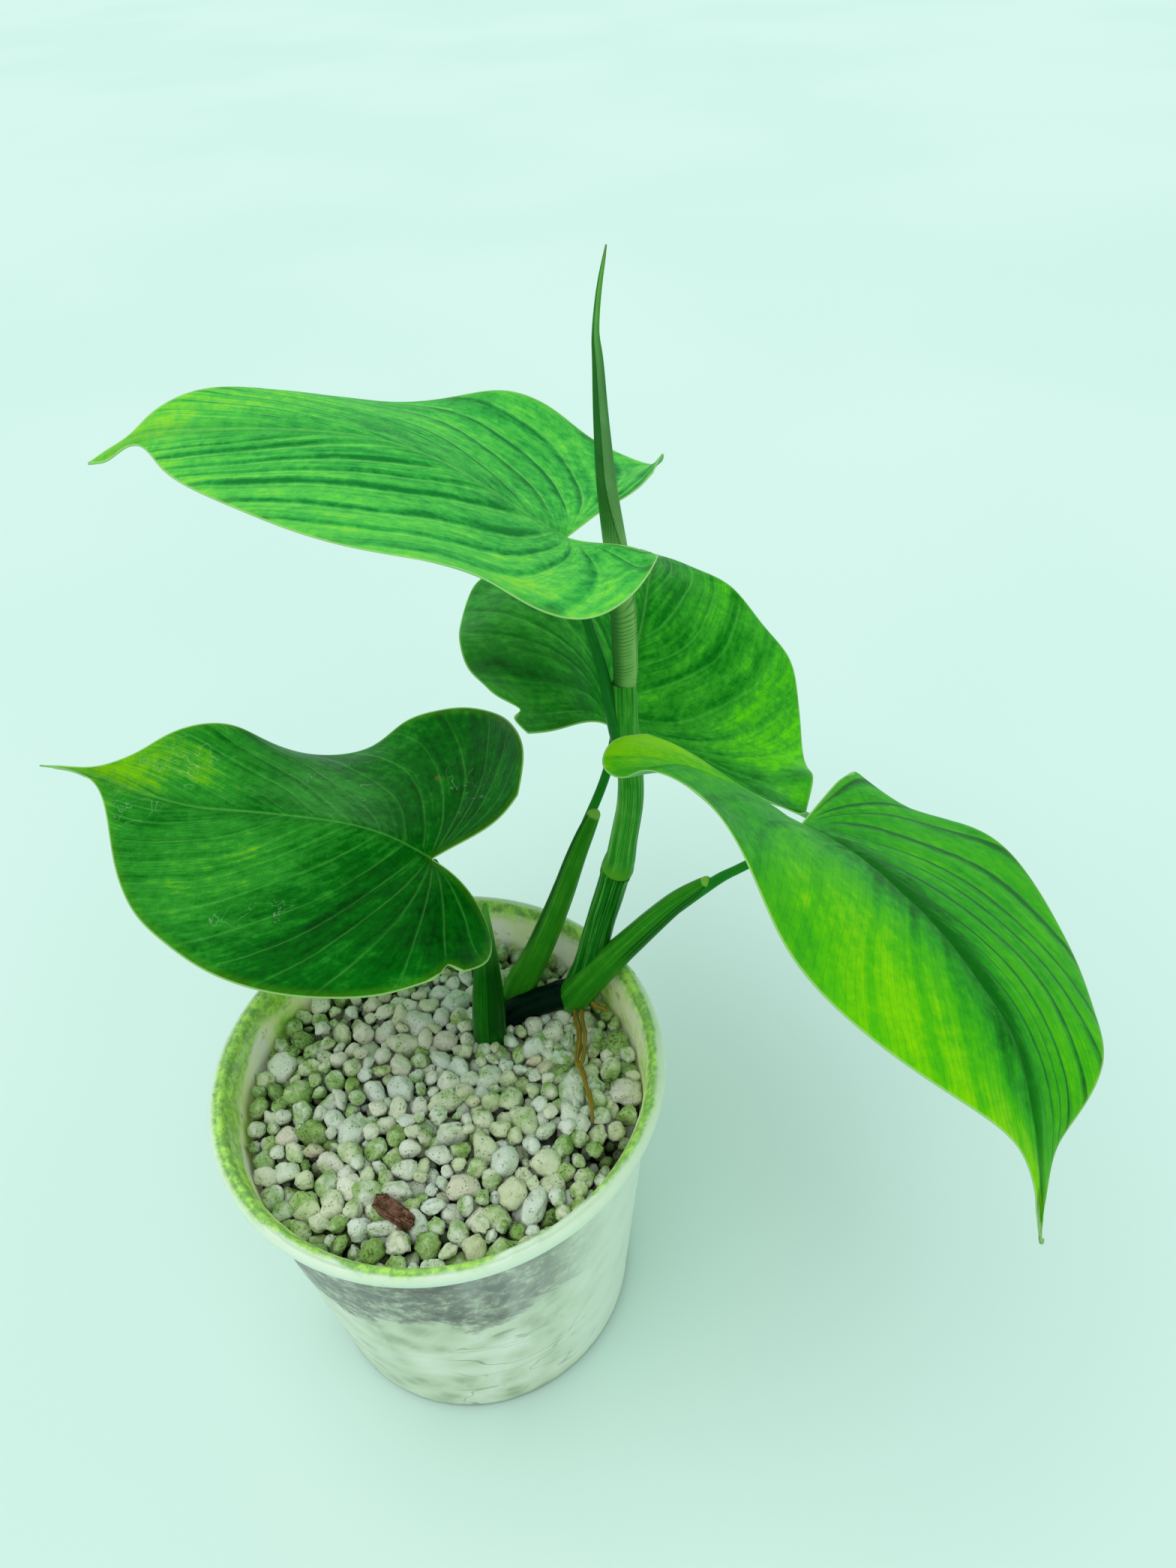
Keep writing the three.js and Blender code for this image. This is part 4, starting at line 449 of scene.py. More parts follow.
def leaf(name, mat, up, sweep, count, relief, groove, blobs, thick=0.55, seed=1, wave=0.0, bias=0.0, nicks=()):
    p, rs, u = leaf_surface(NETS[name])
    for r0, s0, width, deep in nicks:
        for k, r in enumerate(rs):
            g = deep * math.exp(-(((r - r0) / width) ** 2))
            if g > 0.002:
                uu = u * (1 - g * np.abs(u) ** 3 * (u * s0 > 0))
                p[k] = np.stack([np.interp(uu, u, p[k, :, i]) for i in range(3)], 1)
    nr, nu = len(rs), len(u)
    R, U = np.meshgrid(rs, u, indexing="ij")
    au = np.abs(U)
    # vein phase: lines leave the midrib and sweep towards the tip
    sw = np.where(U < 0, sweep[0], sweep[1]) if isinstance(sweep, tuple) else sweep
    d0 = sw * smoothstep(0.0, 9.5, R) * (1 - smoothstep(10, 16.5, R))
    w = R - d0 * au**0.85
    dr, du = np.gradient(p, rs, axis=0), np.gradient(p, u, axis=1)
    n = np.cross(dr, du)
    ln = np.linalg.norm(n, axis=2)
    n /= np.maximum(ln, 1e-9)[..., None]
    # borrow the neighbouring row's direction where the grid closes to a point
    bad = ln < 0.02 * np.median(ln)
    for _ in range(30):
        if not bad.any():
            break
        for ax, sh in ((1, 1), (1, -1), (0, -1), (0, 1)):
            m = bad & ~np.roll(bad, sh, ax)
            n[m] = np.roll(n, sh, ax)[m]
            bad &= ~m
    k = np.array([1, 2, 3, 2, 1]) / 9.0
    for ax in (0, 1):
        pad = np.pad(n, [(2, 2) if i == ax else (0, 0) for i in range(3)], mode="edge")
        n = sum(c * np.take(pad, range(i, i + n.shape[ax]), axis=ax) for i, c in enumerate(k))
    n /= np.linalg.norm(n, axis=2)[..., None]
    if (n.reshape(-1, 3) @ np.array(up)).mean() < 0:
        n = -n
    wr, wu = np.gradient(w, rs, axis=0), np.gradient(w, u, axis=1)
    E, F, G = (dr * dr).sum(2), (dr * du).sum(2), (du * du).sum(2)
    det = np.maximum(E * G - F * F, 1e-3)
    wg = np.sqrt(np.maximum((G * wr**2 - 2 * F * wr * wu + E * wu**2) / det, 1e-8))
    wg = np.clip(wg, 0.01, 3.0)
    flat = p.reshape(-1, 3)
    rim = np.concatenate([p[:, 0], p[::-1, -1], p[0, ::-1]])
    edge = near(flat, rim[::3]).reshape(nr, nu)
    edge[:, 0] = edge[:, -1] = edge[0] = edge[-1] = 0
    mid = near(flat, p[4 * 12 :, nu // 2][::2]).reshape(nr, nu)
    notch = np.linalg.norm(p - np.asarray(NETS[name][0][15:18]), axis=2)
    # pleats between the lateral veins
    ph = count * w + 0.12 * np.sin(1.9 * w + seed) + 0.05 * np.sin(5.1 * au + 2.3 * R + seed)
    x = ph - np.floor(ph)
    knots = fade_noise(40, seed)
    idx = np.floor(ph).astype(int) % 40
    amp = 1 + 0.35 * knots[idx]
    pleat = np.sin(np.pi * np.clip(x, 0, 1) ** 0.8) ** 0.85 * amp - 0.5
    spacing = 1 / (count * wg)
    side_gain = np.where(U < 0, relief[0], relief[1])
    side_gain = side_gain * smoothstep(0.3, 4, spacing)
    h = side_gain * pleat * smoothstep(0, 3.5, mid) * smoothstep(0.0, 4, edge) * smoothstep(1.5, 9, notch)
    h += wave * np.sin(0.9 * R + 2.2 * U + seed) * smoothstep(2, 12, edge) * smoothstep(2, 14, mid)
    hw = np.minimum(np.linalg.norm(p[:, 0] - p[:, nu // 2], axis=1), np.linalg.norm(p[:, -1] - p[:, nu // 2], axis=1))[:, None]
    fadetip = smoothstep(3, 11, hw) + 0 * R
    h = h * smoothstep(2, 8, hw)
    h_top = h - groove * np.exp(-((mid / 1.0) ** 2)) * smoothstep(3.8, 4.6, R) * fadetip
    h_bot = h - 0.9 * np.exp(-((mid / 1.1) ** 2)) * smoothstep(3.6, 5, R) * (0.25 + 0.75 * fadetip)
    th = thick * (0.25 + 0.75 * smoothstep(0, 1.3, edge)) / 2 * (1 + 1.3 * smoothstep(12.5, 15.5, R) * (1 - U**2))
    top = flat + (n * (th + h_top)[..., None]).reshape(-1, 3)
    bot = flat - (n * (th - h_bot)[..., None]).reshape(-1, 3)
    v = np.concatenate([top, bot])
    N = nr * nu
    ii, jj = np.meshgrid(np.arange(nr - 1), np.arange(nu - 1), indexing="ij")
    a = (ii * nu + jj).ravel()
    q = np.stack([a, a + nu, a + nu + 1, a + 1], 1)
    ref = np.einsum("i,i->", np.cross(flat[a[len(a) // 3] + nu] - flat[a[len(a) // 3]], flat[a[len(a) // 3] + 1] - flat[a[len(a) // 3]]), n.reshape(-1, 3)[a[len(a) // 3]])
    if ref < 0:
        q = q[:, ::-1]
    faces = [q, q[:, ::-1] + N]
    loop = np.concatenate([np.arange(nr) * nu, (nr - 1) * nu + np.arange(1, nu), (np.arange(nr - 2, -1, -1)) * nu + nu - 1, np.arange(nu - 2, 0, -1)])
    nxt = np.roll(loop, -1)
    strip = np.stack([loop, nxt, nxt + N, loop + N], 1)
    faces.append(strip if ref < 0 else strip[:, ::-1])
    tone = np.full_like(R, bias)
    for r0, u0, sr, su, am in blobs:
        tone += am * np.exp(-(((R - r0) / sr) ** 2) - (((U - u0) / su) ** 2))
    def two(z):
        return np.concatenate([np.asarray(z).ravel()] * 2)
    attrs = {
        "u": two(U), "r": two(R), "w": two(ph), "wg": two(count * wg), "edge": two(edge), "mid": two(mid),
        "notch": two(notch), "tone": two(tone), "top": np.concatenate([np.ones(N), np.zeros(N)]),
    }
    o = mesh_object(name + "_blade", v * MM, np.concatenate(faces), attrs, mat, weld=2e-6)
    bm = bmesh.new()
    bm.from_mesh(o.data)
    bmesh.ops.recalc_face_normals(bm, faces=bm.faces)
    bm.to_mesh(o.data)
    bm.free()
    return o


def leaf_material(name, tones, vein, vein_strength, rough, pleat_shade=0.35, fine=0.5, specks=False, band=0.35, gloss=0.12, sides=(1.0, 1.0), scar_glint=0.0, midline=0.55, amp=1.0, quilt=0.34):
    m = Nodes(name, rough=rough, spec=gloss)
    u, w, wg = m.attr("u"), m.attr("w"), m.attr("wg")
    edge, mid, top, tone, notch = m.attr("edge"), m.attr("mid"), m.attr("top"), m.attr("tone"), m.attr("notch")
    # drift of the vein lines, patches and streaks that run with the veins
    drift = m.mul(m.sub(m.noise(160, 2), 0.5), 0.10)
    ph = m.add(w, drift)
    x = m.math("FRACT", ph)
    dist = m.math("DIVIDE", m.math("ABSOLUTE", m.sub(m.math("FRACT", m.add(ph, 0.5)), 0.5)), wg)
    streak = m.noise(1.0, 3, 0.6, vec=m.vec(m.mul(w, 3.2), m.mul(mid, 0.045), m.mul(u, 0.6)))
    patch = m.noise(48, 4, 0.55)
    ripple = m.noise(1.0, 3, 0.55, vec=m.vec(m.mul(w, 0.9), m.mul(mid, 0.16), m.mul(u, 1.0)))
    cell = m.voronoi(1500, feature="F1")
    t = m.add(tone, m.add(m.mul(m.sub(streak, 0.5), 0.55), m.mul(m.sub(patch, 0.5), 0.55)))
    t = m.add(t, m.mul(m.sub(ripple, 0.5), 0.45))
    mottle = m.noise(1.0, 3, 0.6, vec=m.vec(m.mul(w, 5.0), m.mul(mid, 0.55), m.mul(u, 3.0)))
    t = m.add(t, m.mul(m.sub(mottle, 0.5), quilt))
    t = m.add(t, m.mul(m.sub(m.noise(460, 3, 0.65), 0.5), quilt * 1.1))
    t = m.add(t, m.mul(m.sub(cell, 0.4), 0.09))
    t = m.add(tone, m.mul(m.sub(t, tone), amp))
    # painted shade: each pleat is darker on the side behind its vein, where its crease faces away from the light
    shade = m.mul(m.smooth(x, 0.02, 0.12), m.smooth(x, 0.45, 0.12))
    shade = m.mul(m.mul(shade, m.smooth(mid, 1.0, 5.0)), m.smooth(notch, 3.0, 14.0))
    t = m.sub(t, m.mul(m.mul(shade, m.smooth(u, -0.05, 0.05, sides[0], sides[1])), pleat_shade))
    body = m.ramp(t, [(0.0, tones[0]), (0.33, tones[1]), (0.66, tones[2]), (1.0, tones[3])])
    # lateral veins
    soft = m.smooth(dist, 0.55, 0.10)
    line = m.smooth(dist, 0.15, 0.03)
    f = m.mul(m.add(m.mul(soft, 0.28), m.mul(line, 0.6)), m.smooth(mid, 0.3, 2.0))
    f = m.mul(f, m.smooth(m.noise(70, 2), 0.30, 0.62, 0.35, 1.0))
    f = m.mul(f, m.smooth(edge, 0.4, 4.0))
    gain = m.smooth(u, -0.05, 0.05, sides[0], sides[1])
    f = m.mul(m.mul(f, vein_strength), gain)
    body = m.mix(f, body, vein)
    # fine parallel veins between them
    ph2 = m.mul(m.add(w, m.mul(m.noise(420, 2), 0.03)), 7.0)
    d2 = m.math("DIVIDE", m.math("ABSOLUTE", m.sub(m.math("FRACT", ph2), 0.5)), m.mul(wg, 7.0))
    fine_line = m.mul(m.smooth(d2, 0.12, 0.02), m.mul(m.smooth(notch, 8.0, 20.0), fine))
    body = m.mix(m.mul(fine_line, 0.35), body, tones[0])
    # midrib: pale in the middle of its groove; the dark shoulders are painted shade in the groove
    body = m.mix(m.mul(m.smooth(mid, 2.4, 0.6), band), body, tones[0])
    body = m.mix(m.mul(m.smooth(mid, 0.5, 0.15), midline), body, vein)
    # margin
    body = m.mix(m.mul(m.smooth(edge, 0.42, 0.12), 0.75), body, "#a8d488")
    body = m.mix(m.mul(m.smooth(edge, 2.4, 0.4), 0.12), body, tones[3])
    if specks:
        marks = m.smooth(m.voronoi(85, rand=1.0), 0.075, 0.045)
        marks = m.mul(marks, m.smooth(m.noise(38, 1), 0.56, 0.62))
        body = m.mix(m.mul(marks, 0.8), body, "#7d5a2c")
    # pale scratch lines: partly real scars, partly painted highlight where the scratches catch the light
    scar_glint_mask = m.math("ABSOLUTE", m.sub(m.noise(60, 3, 0.7, dist=1.5), 0.5))
    scar_glint_mask = m.mul(m.smooth(scar_glint_mask, 0.006, 0.001), m.smooth(m.noise(34, 1), 0.60, 0.68))
    body = m.mix(m.mul(scar_glint_mask, scar_glint), body, "#cfe8cf")
    # paler matt underside
    under = m.mix(0.55, body, "#8fc28a")
    col = m.mix(top, under, body)
    height = m.add(m.mul(m.noise(900, 3, 0.6), 0.5), m.mul(cell, 0.35))
    height = m.sub(height, m.mul(fine_line, 0.6))
    height = m.sub(height, m.mul(soft, 0.5))
    ro = m.add(m.mul(m.sub(m.noise(220, 3), 0.5), 0.16), m.add(m.mul(m.sub(1.0, top), 0.2), rough))
    mat = m.finish(col, ro, m.bump(height, 0.28, 0.0002))
    b = m.bsdf.inputs
    b["Specular Tint"].default_value = (0.35, 1.0, 0.30, 1)
    b["IOR"].default_value = 1.28
    b["Subsurface Weight"].default_value = 0.10
    b["Subsurface Radius"].default_value = (0.5, 1.0, 0.25)
    b["Subsurface Scale"].default_value = 0.0008
    return mat


NICK_A = ((1.9, 1, 0.16, 0.09),)
NICK_D = ((1.4, -1, 0.25, 0.10),)


def build_leaves():
    made = []
    glossy = leaf_material("leaf_dark_gloss", ("#003f08", "#04680e", "#2f962a", "#7cc600"), "#5cb44c", 0.40, 0.34, 0.06, 0.7, specks=True, band=0.15, gloss=0.12, scar_glint=0.22, midline=0.40, amp=1.05, quilt=0.40)
    pleated = leaf_material("leaf_bright_pleat", ("#167a2e", "#32a642", "#56c84a", "#8ede34"), "#88d872", 0.48, 0.46, 0.42, 0.5, gloss=0.12, band=0.25, midline=0.25, amp=1.25, quilt=0.62)
    curled = leaf_material("leaf_yellow_pleat", ("#106414", "#2a9a1c", "#4cb80e", "#82d204"), "#1c7a1c", 0.26, 0.45, 0.54, 0.6, gloss=0.10, sides=(1.0, 0.30), band=0.6, midline=0.0, amp=0.72, quilt=0.66)
    rear = leaf_material("leaf_rear_pleat", ("#005008", "#0a7812", "#34a024", "#5cd008"), "#58b050", 0.44, 0.44, 0.16, 0.6, gloss=0.10, midline=0.30, amp=1.15, quilt=0.44)
    up = (0.0, -0.75, 0.66)
    made.append(("leaf_low_left", leaf("leaf_low_left", glossy, up, (2.6, 1.9), 1.15, (0.045, 0.045), 0.25,
        [(16, 0.0, 3.4, 3.0, 0.60), (12.6, -0.75, 2.4, 0.55, 0.36), (9.5, 0.95, 3.2, 0.35, 0.20), (8.5, -0.1, 3.2, 0.6, 0.14), (9, 0.45, 1.1, 0.5, 0.14), (3.0, 0.6, 2.4, 0.8, -0.12), (3.0, -0.6, 2.4, 0.8, -0.12), (6.0, 0.6, 0.9, 0.5, -0.16)], bias=0.32, seed=3, wave=0.25, nicks=NICK_A)))
    made.append(("leaf_top_left", leaf("leaf_top_left", pleated, up, 4.6, 0.98, (0.40, 0.62), 0.35,
        [(15.5, 0.0, 2.4, 2.0, 0.42), (12.5, -0.8, 3.0, 0.5, 0.26), (9, 0.8, 4.5, 0.45, 0.18), (3.4, 0.7, 2.2, 0.5, 0.22), (7, 0, 3, 0.3, -0.12)], bias=0.44, seed=5)))
    # the two dark blobs on the midrib at row 9.5 (-0.10 and -0.36) are painted shade in the midrib furrow
    made.append(("leaf_right", leaf("leaf_right", curled, up, (4.0, 1.2), 1.0, (0.46, 0.24), 0.85,
        [(15.8, 0, 1.9, 2.0, 0.70), (11.6, 0.95, 3.4, 0.36, 0.44), (9.0, 0.62, 2.2, 0.34, 0.30), (9.5, -0.05, 4.0, 0.12, -0.10), (0.8, 0.95, 2.2, 0.5, 0.76), (6.6, 0.8, 1.3, 0.5, -0.10), (9.5, 0.0, 4.5, 0.18, -0.36), (12.2, 0.35, 1.6, 0.3, -0.14), (9.0, -0.5, 4.5, 0.4, 0.04), (11.5, -0.9, 3.0, 0.3, 0.16)], bias=0.38, seed=8)))
    made.append(("leaf_rear", leaf("leaf_rear", rear, up, (2.4, 3.0), 0.9, (0.14, 0.30), 0.3,
        [(7, 0.95, 5.0, 0.35, 0.24), (4.5, 0.95, 2.0, 0.3, 0.22), (6, 0.5, 4, 0.4, 0.22), (4, -0.8, 5, 0.5, 0.05), (2.5, -0.6, 2.5, 0.6, -0.08)], bias=0.38, seed=11, nicks=NICK_D)))
    for node, o in made:
        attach(o, "root")
        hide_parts(node)
    return made


# ---------------------------------------------------------------------------
# stems, stalks, spear, roots: centre lines of x, y, z, radius in mm
# ---------------------------------------------------------------------------
RHIZOME = [[8.8, 18.9, 74.2, 2.7], [15.0, 20.3, 78.3, 3.1], [21.1, 21.5, 80.2, 3.2], [26.6, 22.3, 81.2, 3.5], [29.4, 22.7, 81.6, 3.3]]
MAIN_STEM = [[31.4, 22.7, 83.5, 3.2], [32.6, 22.9, 87.0, 3.4], [34.5, 23.6, 91.6, 3.5], [37.5, 24.4, 103.5, 3.3], [39.6, 25.0, 110.9, 3.25], [41.4, 25.35, 117.6, 3.3], [41.9, 25.4, 119.4, 3.42]]
SHEATH = [[41.9, 25.45, 119.3, 3.4], [42.2, 25.5, 120.4, 3.62], [42.65, 25.5, 122.3, 3.4], [43.1, 25.5, 124.1, 3.2], [43.9, 25.6, 129.4, 2.95], [45.1, 25.8, 136.3, 2.8], [45.6, 26.0, 141.0, 2.75], [45.7, 26.2, 147.0, 2.65], [45.2, 26.3, 156.4, 2.6], [45.0, 26.3, 163.1, 2.55], [45.0, 26.2, 170.3, 2.55]]
PETIOLE_TOP_LEFT = [[44.4, 25.8, 149.0, 1.5], [43.9, 25.6, 154.0, 1.6], [43.1, 25.5, 158.6, 1.5], [42.0, 25.4, 166.2, 1.25], [40.8, 25.3, 174.6, 1.1], [38.8, 25.2, 184.2, 0.95], [36.9, 25.0, 194.5, 0.85], [36.1, 25.0, 201.2, 0.8]]
SPEAR = [[45.0, 26.2, 161.0, 2.1], [45.1, 26.1, 168.5, 2.2], [45.3, 26.0, 174.0, 2.42], [45.2, 25.6, 183.5, 2.42], [45.0, 25.0, 190.6, 2.32], [44.1, 23.8, 201.5, 2.1], [43.2, 22.5, 212.0, 1.8], [42.8, 21.8, 220.0, 1.5], [42.6, 21.4, 227.3, 1.2], [42.5, 21.2, 234.2, 0.9], [42.4, 21.1, 238.2, 0.6], [43.1, 21.0, 243.8, 0.45], [43.9, 20.8, 247.8, 0.3], [44.4, 20.6, 250.2, 0.12]]
PETIOLE_RIGHT = [[29.5, 22.2, 79.6, 3.5], [31.3, 21.2, 83.6, 4.15], [36.0, 21.0, 90.4, 3.75], [42.3, 20.0, 99.5, 3.15], [48.4, 19.0, 108.2, 2.8], [54.1, 18.0, 115.9, 2.35], [58.4, 17.2, 120.7, 1.75], [60.6, 16.6, 123.3, 1.25]]
PETIOLE_RIGHT_END = [[52.0, 18.2, 111.8, 1.5], [56.4, 17.4, 117.0, 1.4], [62.4, 16.0, 124.0, 1.15], [65.6, 15.0, 127.4, 1.0], [70.6, 13.5, 132.4, 0.95], [75.3, 11.9, 138.6, 0.9], [77.8, 10.6, 143.0, 0.8]]
PETIOLE_REAR = [[14.6, 25.6, 71.5, 3.6], [15.9, 25.9, 77.0, 3.8], [18.1, 26.5, 82.9, 3.7], [22.7, 29.0, 90.9, 3.2], [28.7, 33.0, 103.4, 2.75], [32.4, 36.0, 112.2, 2.4], [35.6, 38.9, 118.6, 2.0], [37.8, 40.6, 122.6, 1.5]]
PETIOLE_REAR_END = [[28.0, 33.4, 103.0, 1.5], [31.4, 36.0, 110.6, 1.35], [35.2, 39.6, 118.8, 1.2], [38.2, 42.6, 124.2, 1.1], [41.3, 46.4, 130.0, 1.05], [43.0, 50.4, 134.4, 0.95], [43.8, 53.2, 136.4, 0.85]]
PETIOLE_LOW_LEFT = [[9.2, 15.6, 71.0, 3.6], [9.6, 15.2, 76.0, 4.0], [10.6, 14.6, 87.9, 3.8], [11.1, 16.0, 95.5, 3.3], [11.5, 17.0, 102.2, 2.7], [12.1, 18.0, 109.9, 1.8], [12.9, 19.0, 118.0, 0.5]]
PETIOLE_LOW_LEFT_END = [[10.2, 16.6, 94.0, 1.5], [8.4, 18.6, 110.6, 1.2], [5.8, 20.4, 121.0, 1.0], [3.2, 21.7, 129.4, 0.85]]
ROOT_FRONT = [[30.0, 20.4, 79.6, 0.66], [30.2, 18.0, 80.6, 0.68], [30.5, 15.8, 81.1, 0.72], [31.0, 12.4, 81.4, 0.68], [31.0, 9.6, 81.6, 0.70], [30.8, 7.0, 81.6, 0.74], [30.5, 4.0, 81.7, 0.66], [30.5, 2.0, 81.8, 0.64], [31.4, -0.5, 81.8, 0.56], [32.2, -3.9, 81.8, 0.60], [33.0, -7.5, 81.4, 0.54], [33.1, -10.4, 80.4, 0.44], [33.0, -11.3, 78.9, 0.32]]
ROOT_SIDE = [[31.8, 20.2, 80.2, 0.5], [32.0, 17.8, 81.0, 0.5], [32.0, 15.9, 81.6, 0.52], [32.15, 11.9, 81.9, 0.5], [32.4, 9.6, 82.0, 0.46], [32.35, 7.0, 82.1, 0.5], [32.0, 4.2, 82.2, 0.48], [31.2, 1.6, 82.2, 0.4], [30.9, 0.4, 82.0, 0.3]]
ROOT_STUB = [[33.2, 19.3, 82.4, 0.5], [34.2, 18.6, 82.9, 0.52], [35.2, 17.6, 82.4, 0.6], [36.6, 17.2, 82.0, 0.5], [37.9, 16.7, 81.4, 0.36]]


def angle_gap(a, b):
    return np.abs((np.asarray(a) - b + np.pi) % (2 * np.pi) - np.pi)


def stalk_shape(split, depth=0.16, start=0.3, wing=0.05, seed=1, ribs=0.008):
    rng = np.random.default_rng(seed)
    k = rng.uniform(0, 6.3, 4)

    def f(l, a, r, total):
        t = l / total
        g = depth * np.exp(-((angle_gap(a, split) / 0.2) ** 2)) * smoothstep(start, start + 0.25, t)
        ridge = ribs * (np.cos(11 * a + k[0]) + np.cos(17 * a + k[1])) + 0.012 * np.cos(2 * a + k[2]) * np.cos(t * 5)
        w = wing * np.exp(-((angle_gap(a, split - 0.9) / 0.7) ** 2)) * smoothstep(0.3, 0.5, t) * (1 - 0.7 * smoothstep(0.66, 0.69, t))
        return r * (1 - g + ridge + w)

    return f


def open_sheath(name, line, mat, drop, wall=0.28, depth=7.0, sides=72, rows=150, ribs=0.006):
    """Tube whose open top edge dips by drop(angle) mm, with a rounded rim and an inner wall."""
    p, r, tan, nrm, side, length = frames(line, 14)
    total = length[-1]
    ang = np.linspace(0, 2 * np.pi, sides, endpoint=False)
    top = total - drop(ang)

    def at(l, k):
        return np.stack([np.interp(l, length, k[:, i]) for i in range(3)], 1)

    rings, along = [], []
    def put(l, dr):
        rad = np.interp(l, length, r) * (1 + ribs * np.cos(9 * ang) + ribs * np.cos(15 * ang + 1.0)) + dr
        rings.append(at(l, p) + at(l, nrm) * (rad * np.cos(ang))[:, None] + at(l, side) * (rad * np.sin(ang))[:, None])
        along.append(l)

    for s in np.linspace(0, 1, rows) ** 0.9:
        put(s * (top - wall / 2), 0.0)
    for a in np.linspace(0, np.pi, 6)[1:-1]:
        put(top - wall / 2 + math.sin(a) * wall / 2, -wall / 2 * (1 - math.cos(a)))
    for s in np.linspace(0, 1, 24):
        put((top - wall / 2) - s * (top - wall / 2 - (total - depth - 4)), -wall)
    n = len(rings)
    v = np.concatenate(rings + [[rings[0].mean(0)], [rings[-1].mean(0)]])
    faces = []
    for i in range(n - 1):
        for j in range(sides):
            a, b = i * sides + j, i * sides + (j + 1) % sides
            faces.append((a, b, b + sides, a + sides))
    for j in range(sides):
        faces.append((n * sides, (j + 1) % sides, j))
        faces.append((n * sides + 1, (n - 1) * sides + j, (n - 1) * sides + (j + 1) % sides))
    al = np.concatenate([np.concatenate(along), [0, total - depth]])
    tu = np.concatenate([np.tile(ang, n), [0, 0]])
    below = np.concatenate([np.concatenate([top - x for x in along]), [total, depth]])
    return mesh_object(name, v * MM, faces, {"along": al, "turn": tu, "part": al / total, "below": below}, mat)


def spear_mesh(name, line, mat, sides=64, steps=26):
    """Rolled blade: one and a bit turns, so the edge stands out along a seam that winds upwards."""
    p, r, tan, nrm, side, length = frames(line, steps)
    total = length[-1]
    t = length / total
    seam = 1.35 - 1.5 * smoothstep(0.28, 0.62, t) - 0.5 * smoothstep(0.7, 1.0, t)
    q = np.linspace(0, 2 * np.pi, sides + 1)
    step = 0.10 * smoothstep(0.02, 0.15, t) * (1 - 0.4 * smoothstep(0.85, 1, t))
    lean = 1.9 * smoothstep(0.24, 0.60, t) + 3.0 * smoothstep(0.60, 0.95, t)
    verts, ringp, rel, al, face = [], [], [], [], []
    for i in range(len(p)):
        rad = r[i] * (1 + step[i] * (0.5 - smoothstep(0.0, 0.32, q / (2 * np.pi))) + 0.006 * np.cos(5 * q + 3 * t[i]))
        rad = rad * (1 - 0.05 * np.cos(q + seam[i] - 0.4) ** 2)
        a = q + seam[i]
        verts.append(p[i] + nrm[i] * (rad * np.cos(a))[:, None] + side[i] * (rad * np.sin(a))[:, None])
        ringp.append(length[i] / 0.62 + 0.25 * np.sin(2 * q) - lean[i] * r[i] * q / 0.62)
        rel.append(q / (2 * np.pi))
        al.append(np.full(sides + 1, length[i]))
        # x part of the outward direction, for the painted side shading in the material
        face.append(nrm[i][0] * np.cos(a) + side[i][0] * np.sin(a))
    m = sides + 1
    n = len(p)
    v = np.concatenate(verts + [[p[0]], [p[-1] + tan[-1] * r[-1] * 0.6]])
    faces = []
    for i in range(n - 1):
        for j in range(m):
            a, b = i * m + j, i * m + (j + 1) % m
            faces.append((a, b, b + m, a + m))
    for j in range(m):
        faces.append((n * m, (j + 1) % m, j))
        faces.append((n * m + 1, (n - 1) * m + j, (n - 1) * m + (j + 1) % m))
    al = np.concatenate(al + [[0], [total]])
    return mesh_object(name, v * MM, faces, {"along": al, "part": al / total, "ringp": np.concatenate(ringp + [[0], [0]]), "rel": np.concatenate(rel + [[0], [0]]), "sx": np.concatenate(face + [[0], [0]])}, mat)


def stalk_material(name, dark, mid, light, split=None, start=0.35, tip=None, base=None, rough=0.38, reach=(0.0, 1.2), streaks=0.5):
    """Lengthwise streaks; past the split angle the wall is the darker stalk, before it the paler wing."""
    m = Nodes(name, rough=rough, spec=0.16)
    turn, part, along = m.attr("turn"), m.attr("part"), m.attr("along")
    cx, cy = m.math("COSINE", turn), m.math("SINE", turn)
    fibre = m.noise(1.0, 4, 0.6, vec=m.vec(m.mul(cx, 6), m.mul(cy, 6), m.mul(along, 0.035)))
    fine = m.noise(1.0, 2, 0.5, vec=m.vec(m.mul(cx, 22), m.mul(cy, 22), m.mul(along, 0.05)))
    spot = m.noise(260, 3, 0.6)
    t = m.add(m.mul(m.sub(fibre, 0.5), streaks * 1.6), m.add(m.mul(m.sub(fine, 0.5), streaks * 0.9), m.add(m.mul(m.sub(spot, 0.5), 0.25), 0.5)))
    col = m.ramp(t, [(0.12, dark), (0.5, mid), (0.9, light)])
    if split is not None:
        gap = m.math("WRAP", m.sub(turn, split), math.pi, -math.pi)
        inside = m.mul(m.smooth(gap, reach[0] - 0.05, reach[0] + 0.06), m.smooth(gap, reach[1] + 0.35, reach[1]))
        inside = m.mul(inside, m.smooth(part, start, start + 0.22))
        seam = m.mul(m.smooth(m.math("ABSOLUTE", m.sub(gap, reach[0])), 0.12, 0.02), m.smooth(part, start, start + 0.2))
        col = m.mix(m.mul(inside, 0.8), col, dark)
        col = m.mix(m.mul(seam, 0.5), col, "#0a3a12")
    if base:
        col = m.mix(m.smooth(part, base[1], base[0]), col, base[2])
    if tip:
        col = m.mix(m.smooth(part, tip[0], 1.0), col, tip[1])
    height = m.add(m.mul(fibre, 0.6), m.mul(fine, 0.6))
    r = m.add(m.mul(m.sub(spot, 0.5), 0.15), rough)
    m.finish(col, r, m.bump(height, 0.22, 0.0002))
    m.bsdf.inputs["Specular Tint"].default_value = (0.4, 1.0, 0.35, 1)
    m.bsdf.inputs["IOR"].default_value = 1.33
    m.bsdf.inputs["Subsurface Weight"].default_value = 0.1
    m.bsdf.inputs["Subsurface Radius"].default_value = (0.5, 1.0, 0.25)
    m.bsdf.inputs["Subsurface Scale"].default_value = 0.0015
    return m


